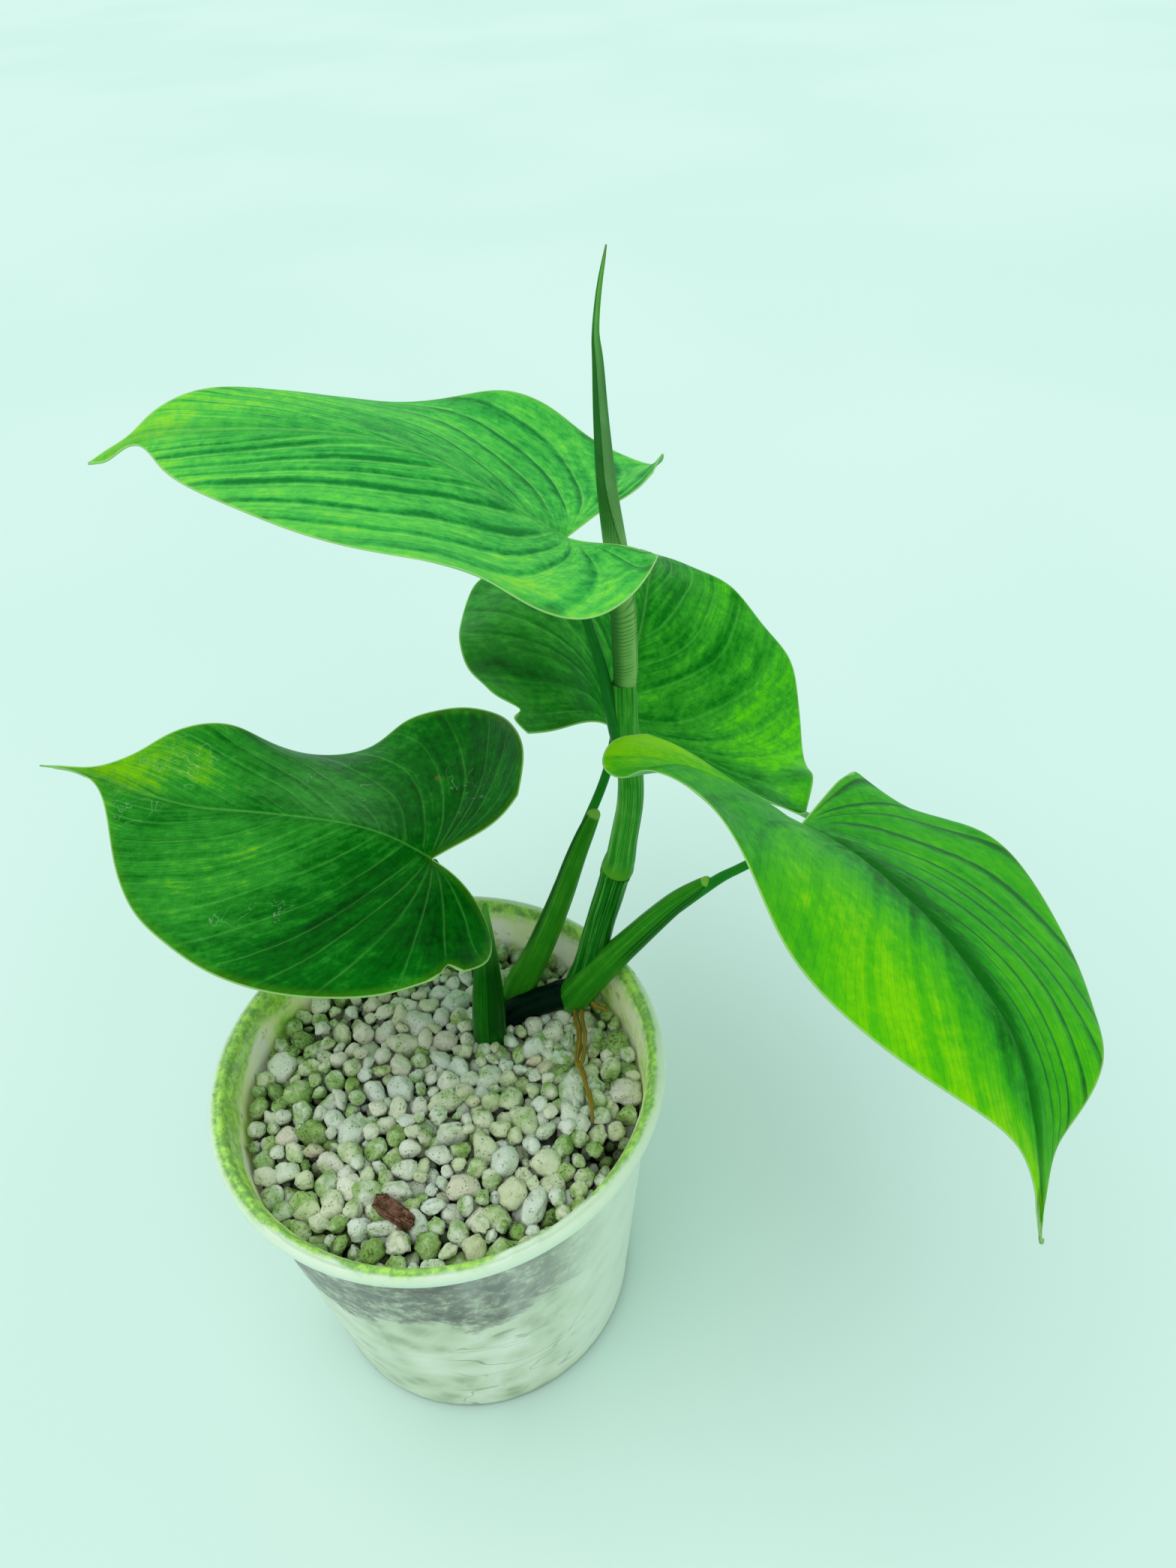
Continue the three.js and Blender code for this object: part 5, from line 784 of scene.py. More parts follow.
def spear_material():
    m = Nodes("rolled_leaf", rough=0.5, spec=0.14)
    part, rp, rel, sx = m.attr("part"), m.attr("ringp"), m.attr("rel"), m.attr("sx")
    ph = m.add(m.mul(rp, 0.8), m.mul(m.sub(m.noise(170, 2), 0.5), 0.9))
    d = m.math("ABSOLUTE", m.sub(m.math("FRACT", ph), 0.5))
    line = m.mul(m.smooth(d, 0.20, 0.04), m.smooth(m.noise(260, 2), 0.30, 0.55))
    body = m.ramp(part, [(0.0, "#4f8f3c"), (0.10, "#78b45c"), (0.30, "#74ae58"), (0.42, "#62a04c"), (0.58, "#4f8d48"), (0.78, "#357b37"), (0.90, "#4aa02f"), (0.97, "#5fa83a"), (1.0, "#7d7a35")])
    # painted shade and light: the overlapping flap darker as if in shadow, a paler lit strip on the other side, and a
    # dark line along the edge as shade under the overlap
    flap_painted_shade = m.mul(m.smooth(rel, 0.70, 0.86), m.smooth(part, 0.40, 0.60))
    body = m.mix(m.mul(flap_painted_shade, 0.65), body, "#1d6126")
    painted_lit_strip = m.mul(m.smooth(rel, 0.22, 0.05), m.smooth(part, 0.30, 0.50))
    body = m.mix(m.mul(painted_lit_strip, 0.30), body, "#9cc98a")
    body = m.mix(m.mul(m.smooth(m.math("ABSOLUTE", m.sub(rel, 0.5)), 0.492, 0.5), 0.6), body, "#1f5a25")
    body = m.mix(m.mul(m.sub(m.noise(300, 3), 0.35), 0.35), body, "#5d9a4e")
    # painted shade and light by side: on the lower part, faces turned to -X are darker and faces turned to +X paler
    low_shading = m.smooth(part, 0.50, 0.30)
    body = m.mix(m.mul(m.mul(m.smooth(sx, 0.25, -0.75), low_shading), 0.85), body, "#1a6820")
    body = m.mix(m.mul(m.mul(m.smooth(sx, 0.15, 0.9), low_shading), 0.35), body, "#94d47c")
    body = m.mix(m.mul(line, m.smooth(part, 0.95, 0.5, 0.12, 0.62)), body, "#2f6b31")
    h = m.sub(m.mul(m.noise(700, 2), 0.3), line)
    m.finish(body, None, m.bump(h, 0.5, 0.0003))
    m.bsdf.inputs["Specular Tint"].default_value = (0.4, 1.0, 0.35, 1)
    m.bsdf.inputs["IOR"].default_value = 1.33
    return m.mat


def build_stems():
    made = []

    def keep(o, node, slot):
        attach(o, "root")
        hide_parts(node)
        made.append(o)
        return o

    # main stem
    m = stalk_material("stem_skin", "#004408", "#0e6c12", "#5cae4c", rough=0.3, streaks=1.0)
    def stem_shape(l, a, r, total):
        ring = 0.05 * np.exp(-(((l - total + 0.6) / 0.7) ** 2))
        return r * (1 + ring + 0.014 * np.cos(8 * a + 0.4) + 0.01 * np.cos(13 * a) + 0.01 * math.sin(l * 0.5))
    keep(tube("main_stem_skin", MAIN_STEM, m.mat, 64, 10, stem_shape, dome=(0.5, 0.05)), "main_stem", "stem")

    # sheath above the ring, open at its top where the rolled leaf comes out
    m = stalk_material("sheath_skin", "#0a5a12", "#2e9224", "#8cc65c", base=(0.015, 0.10, "#4f9a22"), rough=0.36, streaks=0.75)
    def drop(a):
        return 0.6 * (1 - np.cos(a + 0.35)) + 9.0 * np.exp(-((angle_gap(a, 1.75) / 0.42) ** 2)) + 0.25 * np.sin(3 * a)
    keep(open_sheath("sheath_skin", SHEATH, m.mat, drop, depth=8), "upper_sheath_and_petiole", "sheath")
    m = stalk_material("stalk_dark", "#064a14", "#146c20", "#449a44", rough=0.34)
    keep(tube("petiole_top_left", PETIOLE_TOP_LEFT, m.mat, 32, 10, lambda l, a, r, t: r * (1 + 0.03 * np.cos(3 * a) - 0.14 * np.exp(-((angle_gap(a, 2.2) / 0.35) ** 2)))), "upper_sheath_and_petiole", "petiole")
    keep(spear_mesh("rolled_new_leaf_skin", SPEAR, spear_material()), "rolled_new_leaf", "young_leaf")

    # right-hand stalk
    m = stalk_material("wing_right", "#0a5212", "#288418", "#62b434", split=0.55, start=0.32, tip=(0.99, "#7cba44"), rough=0.36, reach=(-0.75, 1.6))
    keep(tube("petiole_right_wing", PETIOLE_RIGHT, m.mat, 64, 10, stalk_shape(-0.2, 0.16, 0.3, 0.07, 3), dome=(0.7, 1.0)), "petiole_right", "petiole")
    dark = stalk_material("stalk_right", "#065214", "#187e20", "#409e34", rough=0.36)
    keep(tube("petiole_right_stalk", PETIOLE_RIGHT_END, dark.mat, 32, 10), "petiole_right", "petiole")

    # rear stalk
    m = stalk_material("wing_rear", "#0e560c", "#2c8818", "#6cb038", split=4.95, start=0.25, tip=(0.985, "#7cb448"), rough=0.4, reach=(-0.9, 0.1))
    keep(tube("petiole_rear_wing", PETIOLE_REAR, m.mat, 64, 10, stalk_shape(5.0, 0.12, 0.2, 0.04, 5), dome=(0.3, 1.0)), "petiole_rear", "petiole")
    keep(tube("petiole_rear_stalk", PETIOLE_REAR_END, dark.mat, 32, 10), "petiole_rear", "petiole")

    # low left stalk
    m = stalk_material("wing_low_left", "#003c08", "#0c640c", "#40982a", split=0.6, start=0.1, tip=(0.6, "#4f9c38"), base=(0.02, 0.16, "#0a3d12"), rough=0.34, reach=(-0.6, 0.5))
    keep(tube("petiole_low_left_wing", PETIOLE_LOW_LEFT, m.mat, 64, 10, stalk_shape(0.9, 0.10, 0.1, 0.03, 7), dome=(0.3, 0.8)), "petiole_low_left", "petiole")
    keep(tube("petiole_low_left_stalk", PETIOLE_LOW_LEFT_END, dark.mat, 32, 10), "petiole_low_left", "petiole")

    # rhizome
    m = stalk_material("rhizome_skin", "#000605", "#011512", "#06302a", rough=0.42, streaks=0.7)
    def knobbly(l, a, r, total):
        rings = 0.035 * np.exp(-((((l + 0.6) % 4.6) - 2.3) / 0.45) ** 2) + 0.03 * np.exp(-(((l - total + 0.3) / 0.5) ** 2))
        return r * (1 + rings + 0.02 * np.cos(3 * a + l * 0.3) + 0.012 * np.cos(9 * a))
    keep(tube("rhizome_skin", RHIZOME, m.mat, 56, 12, knobbly, dome=(0.8, 0.1)), "rhizome", "rhizome")

    # air roots
    m = stalk_material("root_skin", "#3c3408", "#8c7a2c", "#b89a52", rough=0.7, streaks=1.0)
    for node, line, s in (("aerial_root_front", ROOT_FRONT, 2), ("aerial_root_side", ROOT_SIDE, 5), ("root_stub", ROOT_STUB, 9)):
        ph = np.random.default_rng(s).uniform(0, 6, 5)
        def wob(l, a, r, total, ph=ph):
            return r * (1 + 0.13 * math.sin(l * 0.9 + ph[0]) + 0.08 * math.sin(l * 2.3 + ph[1]) + 0.06 * np.cos(3 * a + l * 0.7 + ph[2]) + 0.04 * np.cos(5 * a - l))
        fine = [[p[0] + 0.10 * math.sin(i * 1.7 + ph[3]), p[1], p[2] + 0.1 * math.sin(i * 2.1), p[3]] for i, p in enumerate(line)]
        keep(tube(node + "_skin", fine, m.mat, 20, 14, wob, dome=(0.5, 1.0)), node, "root")
    return made


# ---------------------------------------------------------------------------
# gravel
# ---------------------------------------------------------------------------
def wall_radius(z):
    return np.interp(z, [2.2, 3.2, 87.4], [37.0, 37.85, 45.75])


def icosphere(level):
    bm = bmesh.new()
    bmesh.ops.create_icosphere(bm, subdivisions=level, radius=1.0)
    v = np.array([tuple(x.co) for x in bm.verts])
    f = np.array([[x.index for x in y.verts] for y in bm.faces])
    bm.free()
    return v, f


def gravel_obstacles():
    """Upright members that pass through the top of the bed: x, y, z, radius."""
    out = []
    for line in (RHIZOME, PETIOLE_REAR, PETIOLE_LOW_LEFT, PETIOLE_RIGHT, MAIN_STEM):
        p, r, *_ = frames(line, 6)
        keep = p[:, 2] < 92
        for q, rr in zip(p[keep][::2], r[keep][::2]):
            out.append((*q, rr))
    return np.array(out)


def bed_level(x, y):
    """Height of the gravel's surface: lower at the back right, a slight heap on the left."""
    return 78.6 - 2.6 * np.exp(-(((x - 34) / 13) ** 2) - (((y - 14) / 16) ** 2)) - 1.2 * np.exp(-(((x - 14) / 6) ** 2) - (((y - 3) / 5) ** 2)) + 0.9 * np.exp(-(((x + 20) / 16) ** 2) - (((y - 12) / 16) ** 2))


def pack_gravel(rng):
    fixed, fr = [], []
    for i in range(1, 21):
        lo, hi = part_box("pumice_stone_%02d" % i)
        c = (np.array(lo) + np.array(hi)) / 2 / MM
        s = (np.array(hi) - np.array(lo)) / 2 / MM
        fixed.append(c)
        fr.append((s[0] * s[1] * s[2]) ** (1 / 3) * 1.02)
    fixed, fr = np.array(fixed), np.array(fr)
    # free grains, dropped in layers over a fixed floor
    n = 2300
    r = np.clip(rng.lognormal(0.62, 0.30, n), 1.0, 3.6)
    a, q = rng.uniform(0, 2 * np.pi, n), np.sqrt(rng.uniform(0, 1, n))
    p = np.stack([q * 42 * np.cos(a), q * 42 * np.sin(a), rng.uniform(68, 81, n)], 1)
    obs = gravel_obstacles()
    P, R = np.concatenate([fixed, p]), np.concatenate([fr, r])
    nf = len(fixed)
    for it in range(190):
        if it % 8 == 0:
            g = P @ P.T
            sq = np.diag(g)
            d2 = sq[:, None] + sq[None] - 2 * g
            i, j = np.nonzero(np.triu(d2 < (R[:, None] + R[None] + 1.8) ** 2, 1))
        d = P[i] - P[j]
        dist = np.sqrt((d * d).sum(1)) + 1e-6
        over = np.maximum((R[i] + R[j]) * 0.92 - dist, 0)
        step = d / dist[:, None] * over[:, None] * 0.27
        push = np.stack([np.bincount(i, step[:, k], len(P)) - np.bincount(j, step[:, k], len(P)) for k in range(3)], 1)
        ln = np.linalg.norm(push, axis=1)
        push *= np.minimum(1, (1.2 if it < 100 else 0.5) / np.maximum(ln, 1e-9))[:, None]
        P[nf:] += push[nf:]
        P[nf:, 2] -= 0.10 if it < 130 else 0.02
        if it % 2 == 0:
            d = P[:, None] - obs[None, :, :3]
            dist = np.sqrt((d * d).sum(2)) + 1e-6
            over = np.maximum(R[:, None] * 0.9 + obs[None, :, 3] - dist, 0)
            shift = (d / dist[..., None] * over[..., None]).max(1) + (d / dist[..., None] * over[..., None]).min(1)
            P[nf:] += np.clip(shift[nf:], -1, 1) * 0.8
        rad = np.hypot(P[:, 0], P[:, 1])
        lim = wall_radius(P[:, 2]) - R * 0.95 - 0.2
        k = np.where(rad > lim, lim / np.maximum(rad, 1e-6), 1)
        P[nf:, :2] *= k[nf:, None]
        P[nf:, 2] = np.maximum(P[nf:, 2], 66.5 + R[nf:] * 0.6)
        over_top = P[:, 2] + R * 0.75 - bed_level(P[:, 0], P[:, 1]) - 1.6
        P[nf:, 2] -= np.clip(over_top[nf:], 0, 0.6)
    return P, R, nf


def pumice_material():
    m = Nodes("pumice", rough=0.92, spec=0.2)
    tint, algae, warm = m.attr("tint"), m.attr("algae"), m.attr("warm")
    low_shading, rise = m.attr("low_shading"), m.attr("rise")
    base = m.ramp(tint, [(0.0, "#ecf6e0"), (0.22, "#fafff8"), (0.45, "#f2fcf5"), (0.62, "#fbfdec"), (0.80, "#f2f8dc"), (1.0, "#e2eec4")])
    base = m.mix(warm, base, "#ecd6c2")
    n1, n2 = m.noise(420, 5, 0.65), m.noise(1500, 4, 0.7)
    base = m.mix(m.mul(m.smooth(n1, 0.42, 0.66), 0.34), base, "#cadcae")
    grow = m.add(algae, m.mul(m.sub(m.noise(260, 4, 0.6), 0.5), 2.3))
    green = m.mix(m.smooth(n2, 0.35, 0.65), "#74a83c", "#aed470")
    base = m.mix(m.mul(m.smooth(grow, 0.30, 0.95), 0.88), base, green)
    deep = m.mul(m.smooth(grow, 0.85, 1.25), m.smooth(n2, 0.46, 0.58))
    base = m.mix(m.mul(deep, 0.85), base, "#3c5a20")
    pore = m.voronoi(1300)
    hole = m.mul(m.smooth(pore, 0.28, 0.12), m.smooth(m.noise(520, 2), 0.45, 0.62))
    base = m.mix(m.mul(hole, 0.55), base, "#5d6a45")
    # painted shade: each grain darker on its underside, and grains lying deeper in the bed darker
    base = m.mix(m.smooth(rise, 0.25, -0.75, 0.0, 0.62), base, "#3a4a28")
    base = m.mix(m.mul(low_shading, 0.92), base, "#1a2412")
    h = m.add(m.mul(n1, 1.2), m.sub(m.mul(n2, 0.7), m.mul(hole, 1.0)))
    m.finish(base, None, m.bump(h, 0.8, 0.0009))
    return m.mat


def build_gravel():
    rng = np.random.default_rng(20)
    P, R, nf = pack_gravel(rng)
    level = bed_level(P[:, 0], P[:, 1])
    # depth of each grain below the local surface
    depth = level - (P[:, 2] + R * 0.7)
    fine_v, fine_f = icosphere(4)
    mid_v, mid_f = icosphere(3)
    low_v, low_f = icosphere(2)
    mat = pumice_material()
    groups, stats = {0: [], 1: [], 2: [], 3: []}, 0
    theta = np.arctan2(P[:, 1], P[:, 0])
    rad = np.hypot(P[:, 0], P[:, 1])
    for i in range(len(P)):
        if depth[i] > 5.5:
            continue
        v0, f0 = (mid_v, mid_f) if depth[i] < 2.4 else (low_v, low_f)
        ax = np.clip(rng.normal((1.06, 0.84, 0.92), (0.16, 0.14, 0.12)), 0.58, 1.4)
        q = rng.normal(size=4)
        q /= np.linalg.norm(q)
        w, x, y, z = q
        rot = np.array([[1 - 2 * (y * y + z * z), 2 * (x * y - z * w), 2 * (x * z + y * w)], [2 * (x * y + z * w), 1 - 2 * (x * x + z * z), 2 * (y * z - x * w)], [2 * (x * z - y * w), 2 * (y * z + x * w), 1 - 2 * (x * x + y * y)]])
        # lumps, a few flattened faces and small pits
        d = v0.copy()
        s = np.ones(len(d))
        for _ in range(4):
            k = rng.normal(size=3)
            s += rng.uniform(0.03, 0.10) * np.sin(d @ k * rng.uniform(1.2, 2.8) + rng.uniform(0, 6))
        for _ in range(rng.integers(7, 14)):
            k = rng.normal(size=3)
            k /= np.linalg.norm(k)
            c = rng.uniform(0.66, 0.92)
            proj = d @ k
            s = np.where(proj * s > c, s * (c / np.maximum(proj * s, 1e-6)) ** 0.9, s)
        for _ in range(7):
            k = rng.normal(size=3) * rng.uniform(3.5, 9)
            s += rng.uniform(0.012, 0.042) * np.sin(d @ k + rng.uniform(0, 6))
        v = (d * s[:, None] * ax) @ rot.T * R[i] * 1.04 + P[i]
        h = np.hypot(v[:, 0], v[:, 1])
        lim = wall_radius(v[:, 2]) - 0.15
        v[:, :2] *= np.minimum(1, lim / np.maximum(h, 1e-6))[:, None]
        edge = smoothstep(26, 42, rad[i])
        left = np.clip(-np.cos(theta[i] - 0.6), 0, 1)
        alg = rng.normal(0.36, 0.27) + 0.26 * edge + 0.10 * left + 0.22 * smoothstep(20, 40, P[i, 0]) * smoothstep(-8, 10, P[i, 1])
        centre = np.exp(-(((P[i, 0] - 6) / 18) ** 2) - (((P[i, 1] + 8) / 16) ** 2))
        alg -= 0.16 * centre
        warm = max(0.0, rng.normal(-0.25, 0.35)) + 0.35 * np.exp(-(((P[i, 0] + 14) / 12) ** 2) - (((P[i, 1] - 14) / 8) ** 2))
        # painted light: at the back left, in the shadow of the low left leaf, the depth shade and the algae are reduced
        # so these grains are painted brighter
        shade = np.exp(-(((P[i, 0] + 14) / 16) ** 2) - (((P[i, 1] - 16) / 11) ** 2))
        # painted shade: the deeper a grain lies below the surface, the darker it is painted
        low_shading = np.clip((depth[i] - 1.0 - 1.2 * shade) / 2.4, 0, 0.95)
        alg -= 0.25 * shade
        kind = i % 4
        groups[kind].append((v, f0, rng.uniform(), alg, min(warm, 0.8), low_shading, (v[:, 2] - P[i, 2]) / R[i]))
    made = []
    nodes = ["pumice_stone_%02d" % i for i in range(1, 21)]
    for kind, items in groups.items():
        off, vs, fs, at = 0, [], [], {"tint": [], "algae": [], "warm": [], "low_shading": [], "rise": []}
        for v, f, tint, alg, warm, low_shading, rise in items:
            at["rise"].append(rise)
            vs.append(v)
            fs.append(f + off)
            off += len(v)
            for key, val in (("tint", tint), ("algae", alg), ("warm", warm), ("low_shading", low_shading)):
                at[key].append(np.full(len(v), val))
        o = mesh_object("pumice_grains_%d" % (kind + 1), np.concatenate(vs) * MM, np.concatenate(fs), {k: np.concatenate(x) for k, x in at.items()}, mat)
        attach(o, "root")
        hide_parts(*nodes[kind * 5 : kind * 5 + 5])
        made.append(o)
    # dark body of the bed under the top grains: painted shade, the gravel below coloured near-black as if in shadow
    ang = np.linspace(0, 2 * np.pi, 96, endpoint=False)
    zs = [2.6, 3.4, 20, 40, 60, 70.5]
    rings = [np.stack([(wall_radius(z) - 0.25) * np.cos(ang), (wall_radius(z) - 0.25) * np.sin(ang), np.full(96, z)], 1) for z in zs]
    for f in np.linspace(0.94, 0.04, 16):
        x, y = (wall_radius(71) - 0.3) * f * np.cos(ang), (wall_radius(71) - 0.3) * f * np.sin(ang)
        z = 71.4 + 0.8 * np.sin(x * 0.9) * np.sin(y * 0.8 + 1) + 0.4 * np.sin(x * 2.1 + y)
        rings.append(np.stack([x, y, z], 1))
    v = np.concatenate(rings + [[[0, 0, 2.6]], [[0, 0, 71.4]]])
    n = len(rings)
    faces = [(i * 96 + j, i * 96 + (j + 1) % 96, (i + 1) * 96 + (j + 1) % 96, (i + 1) * 96 + j) for i in range(n - 1) for j in range(96)]
    faces += [(n * 96, (j + 1) % 96, j) for j in range(96)] + [(n * 96 + 1, (n - 1) * 96 + j, (n - 1) * 96 + (j + 1) % 96) for j in range(96)]
    m = Nodes("gravel_below_painted_shade", rough=0.95, spec=0.1)
    c = m.ramp(m.voronoi(210, out="Distance"), [(0.1, "#3f4a30"), (0.5, "#232b1a"), (0.8, "#0e130b")])
    m.finish(c, None, m.bump(m.noise(300, 4), 0.6, 0.001))
    o = mesh_object("gravel_depth", v * MM, faces, None, m.mat)
    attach(o, "root")
    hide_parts("gravel_bed")
    made.append(o)
    return made


def build_chip():
    lo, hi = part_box("bark_chip")
    c = (np.array(lo) + np.array(hi)) / 2 / MM
    s = (np.array(hi) - np.array(lo)) / 2 / MM
    v, f = icosphere(5)
    a = math.radians(-38)
    p = np.sign(v) * np.abs(v) ** 0.62
    p = p / np.abs(p).max()
    rng = np.random.default_rng(6)
    for i in range(len(v)):
        q = Vector(v[i])
        p[i] *= 1 + 0.16 * noise.noise(q * 2.3) + 0.10 * noise.noise(q * 5.5 + Vector((3, 1, 2))) + 0.05 * noise.noise(q * 13)
    p *= np.array([5.0, 2.0, 1.5])
    p[:, 2] += 0.22 * np.sin(p[:, 1] * 5.5 + 0.5 * p[:, 0]) + 0.10 * np.sin(p[:, 1] * 13 + 2)
    x, y = p[:, 0] * math.cos(a) - p[:, 1] * math.sin(a), p[:, 0] * math.sin(a) + p[:, 1] * math.cos(a)
    p = np.stack([x + c[0] + 0.2, y + c[1] - 0.9, p[:, 2] + c[2] + 3.7], 1)
    m = Nodes("bark", rough=0.92, spec=0.2)
    X, Y, Z = m.xyz()
    ca, sa = math.cos(a), math.sin(a)
    run, across = m.add(m.mul(X, ca), m.mul(Y, sa)), m.sub(m.mul(Y, ca), m.mul(X, sa))
    fibre = m.noise(1.0, 5, 0.75, vec=m.vec(m.mul(run, 260), m.mul(across, 1100), m.mul(Z, 900)), dist=0.8)
    grit = m.noise(900, 5, 0.8)
    tone = m.add(m.mul(fibre, 0.6), m.mul(grit, 0.4))
    col = m.ramp(tone, [(0.36, "#1c100a"), (0.46, "#5a3c28"), (0.56, "#96705a"), (0.68, "#c8a48c")])
    m.finish(col, None, m.bump(tone, 0.9, 0.0011))
    o = mesh_object("bark_chip_rough", p * MM, f, None, m.mat)
    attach(o, "root")
    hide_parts("bark_chip")
    return o


# ---------------------------------------------------------------------------
# pot
# ---------------------------------------------------------------------------
def build_pot():
    # radius, height, zone (0 outer wall, 1 lip, 2 inner wall)
    prof = [(0.0, 0.0, 0), (20, 0.0, 0), (37.6, 0.0, 0), (38.3, 0.12, 0), (38.8, 0.5, 0), (39.05, 1.1, 0), (39.15, 1.9, 0), (39.1, 2.4, 0)]
    for z in np.linspace(3.2, 84.6, 60):
        prof.append((39.05 + (46.92 - 39.05) * (z - 2.4) / (85.2 - 2.4), z, 0))
    prof += [(46.98, 85.3, 0), (47.15, 85.75, 0.4), (47.6, 86.0, 0.8), (48.4, 86.1, 1), (48.9, 86.25, 1), (49.45, 86.7, 1), (49.8, 87.35, 1), (49.95, 88.1, 1), (49.9, 88.75, 1), (49.7, 89.25, 1), (49.35, 89.6, 1), (48.95, 89.78, 1),
             (48.6, 89.72, 1), (48.35, 89.6, 1), (48.1, 89.66, 1), (47.85, 89.82, 1), (47.55, 89.86, 1), (47.25, 89.76, 1), (47.0, 89.5, 1), (46.8, 89.2, 1), (46.62, 88.8, 1.1), (46.45, 88.3, 1.4), (46.2, 87.8, 1.7), (45.95, 87.4, 2)]
    for z in np.linspace(86.6, 60, 26):
        prof.append((wall_radius(z) - 0.03, z, 2))
    for z in (45, 30, 15, 4):
        prof.append((wall_radius(z) - 0.03, z, 2))
    prof += [(37.3, 2.7, 2), (36.7, 2.25, 2), (18, 2.2, 2), (0.0, 2.2, 2)]
    prof = np.array(prof)
    n = 288
    ang = np.linspace(0, 2 * np.pi, n, endpoint=False)
    inner = prof[1:-1]
    rings, zone = [], []
    lugs = [(math.atan2(-38.7, -31.1), 2.3), (math.atan2(-46.1, 19.9), 3.0)]
    for r, z, k in inner:
        rr = np.full(n, r)
        zz = np.full(n, z)
        rr = rr + 0.10 * np.cos(2 * ang + 0.6) * smoothstep(60, 88, z)
        for la, lw in lugs:
            g = angle_gap(ang, la) * 48
            if 47.0 < r < 49.4 and z > 88:
                box = 1 - smoothstep(lw - 0.25, lw + 0.1, g)
                zz = zz + 0.55 * box * (0.45 + 0.55 * smoothstep(lw - 1.1, lw - 0.6, g)) * (1 - smoothstep(0.8, 1.1, abs(r - 48.3)))
        zz = zz + 0.05 * np.sin(3 * ang + 1) * (z > 86)
        rings.append(np.stack([rr * np.cos(ang), rr * np.sin(ang), zz], 1))
        zone.append(np.full(n, k))
    v = np.concatenate(rings + [[[0, 0, 0]], [[0, 0, 2.2]]])
    m_ = len(rings)
    faces = [(i * n + j, i * n + (j + 1) % n, (i + 1) * n + (j + 1) % n, (i + 1) * n + j) for i in range(m_ - 1) for j in range(n)]
    faces += [(m_ * n, (j + 1) % n, j) for j in range(n)] + [(m_ * n + 1, (m_ - 1) * n + j, (m_ - 1) * n + (j + 1) % n) for j in range(n)]
    zone = np.concatenate(zone + [[0], [2]])
    front = np.arctan2(v[:, 0], -v[:, 1])  # 0 at the front, + to the right
    fx, fy = np.sin(front), np.cos(front)
    attrs = {"zone": zone, "fx": fx, "fy": fy, "hz": v[:, 2]}

    m = Nodes("milky_plastic", rough=0.34, spec=0.5)
    zone, fx, fy, hz = m.attr("zone"), m.attr("fx"), m.attr("fy"), m.attr("hz")
    X, Y, Z = m.xyz()
    # what shows through the outer wall
    grain = m.voronoi(150, vec=m.where, feature="SMOOTH_F1")
    cloudy = m.noise(42, 5, 0.6, dist=0.6)
    smear = m.noise(1.0, 5, 0.62, vec=m.vec(m.mul(X, 55), m.mul(Y, 55), m.add(m.mul(Z, 120), m.mul(X, 60))), dist=0.9)
    fleck = m.noise(330, 3, 0.7)
    lower = m.ramp(m.add(m.mul(cloudy, 0.75), m.mul(grain, 0.35)), [(0.34, "#96a884"), (0.47, "#c2d2b0"), (0.60, "#d8e6cc"), (0.76, "#ecf6e2")])
    spots = m.mul(m.smooth(m.noise(190, 4, 0.7), 0.62, 0.72), m.smooth(m.noise(30, 2), 0.45, 0.6))
    lower = m.mix(m.mul(spots, 0.55), lower, "#7a8c5f")
    ragged = m.add(hz, m.mul(m.sub(cloudy, 0.5), 34.0))
    band = m.mul(m.smooth(ragged, 50.0, 63.0), m.smooth(hz, 85.6, 84.2))
    face = m.smooth(m.add(fy, m.mul(m.add(fx, 0.14), -0.25)), 0.30, 0.80)
    dark = m.mul(m.mul(m.smooth(m.add(smear, m.mul(band, 0.24)), 0.50, 0.66), m.smooth(band, 0.02, 0.45)), face)
    murk = m.ramp(m.add(m.mul(fleck, 0.6), m.mul(m.noise(95, 4, 0.65), 0.4)), [(0.40, "#3a3834"), (0.50, "#68695c"), (0.58, "#98a48c"), (0.66, "#c0ccae")])
    lower = m.mix(m.mul(dark, 0.94), lower, murk)
    pale = m.mul(m.smooth(m.noise(210, 4, 0.7), 0.63, 0.70), band)
    lower = m.mix(m.mul(pale, 0.5), lower, "#dce8d2")
    # fine roots pressed on the wall
    rootn = m.math("ABSOLUTE", m.sub(m.noise(1.0, 2, 0.4, vec=m.vec(m.mul(X, 34), m.mul(Y, 34), m.mul(Z, 95)), dist=0.7), 0.5))
    roots = m.mul(m.smooth(rootn, 0.012, 0.003), m.mul(m.smooth(m.noise(22, 1), 0.42, 0.55), m.smooth(hz, 62, 45)))
    roots = m.mul(roots, m.smooth(fy, -0.1, 0.6, 0.15, 1.0))
    lower = m.mix(m.mul(roots, 0.6), lower, "#68755a")
    clear = m.mul(m.smooth(fx, 0.35, 0.85), 0.75)
    lower = m.mix(clear, lower, "#e2f6de")
    lower = m.mix(m.smooth(hz, 2.8, 1.2), lower, "#8fa38c")
    streak = m.noise(1.0, 3, 0.5, vec=m.vec(m.mul(X, 60), m.mul(Y, 60), m.mul(Z, 5)))
    lower = m.mix(m.mul(m.smooth(streak, 0.52, 0.75), 0.25), lower, "#e7f3e8")
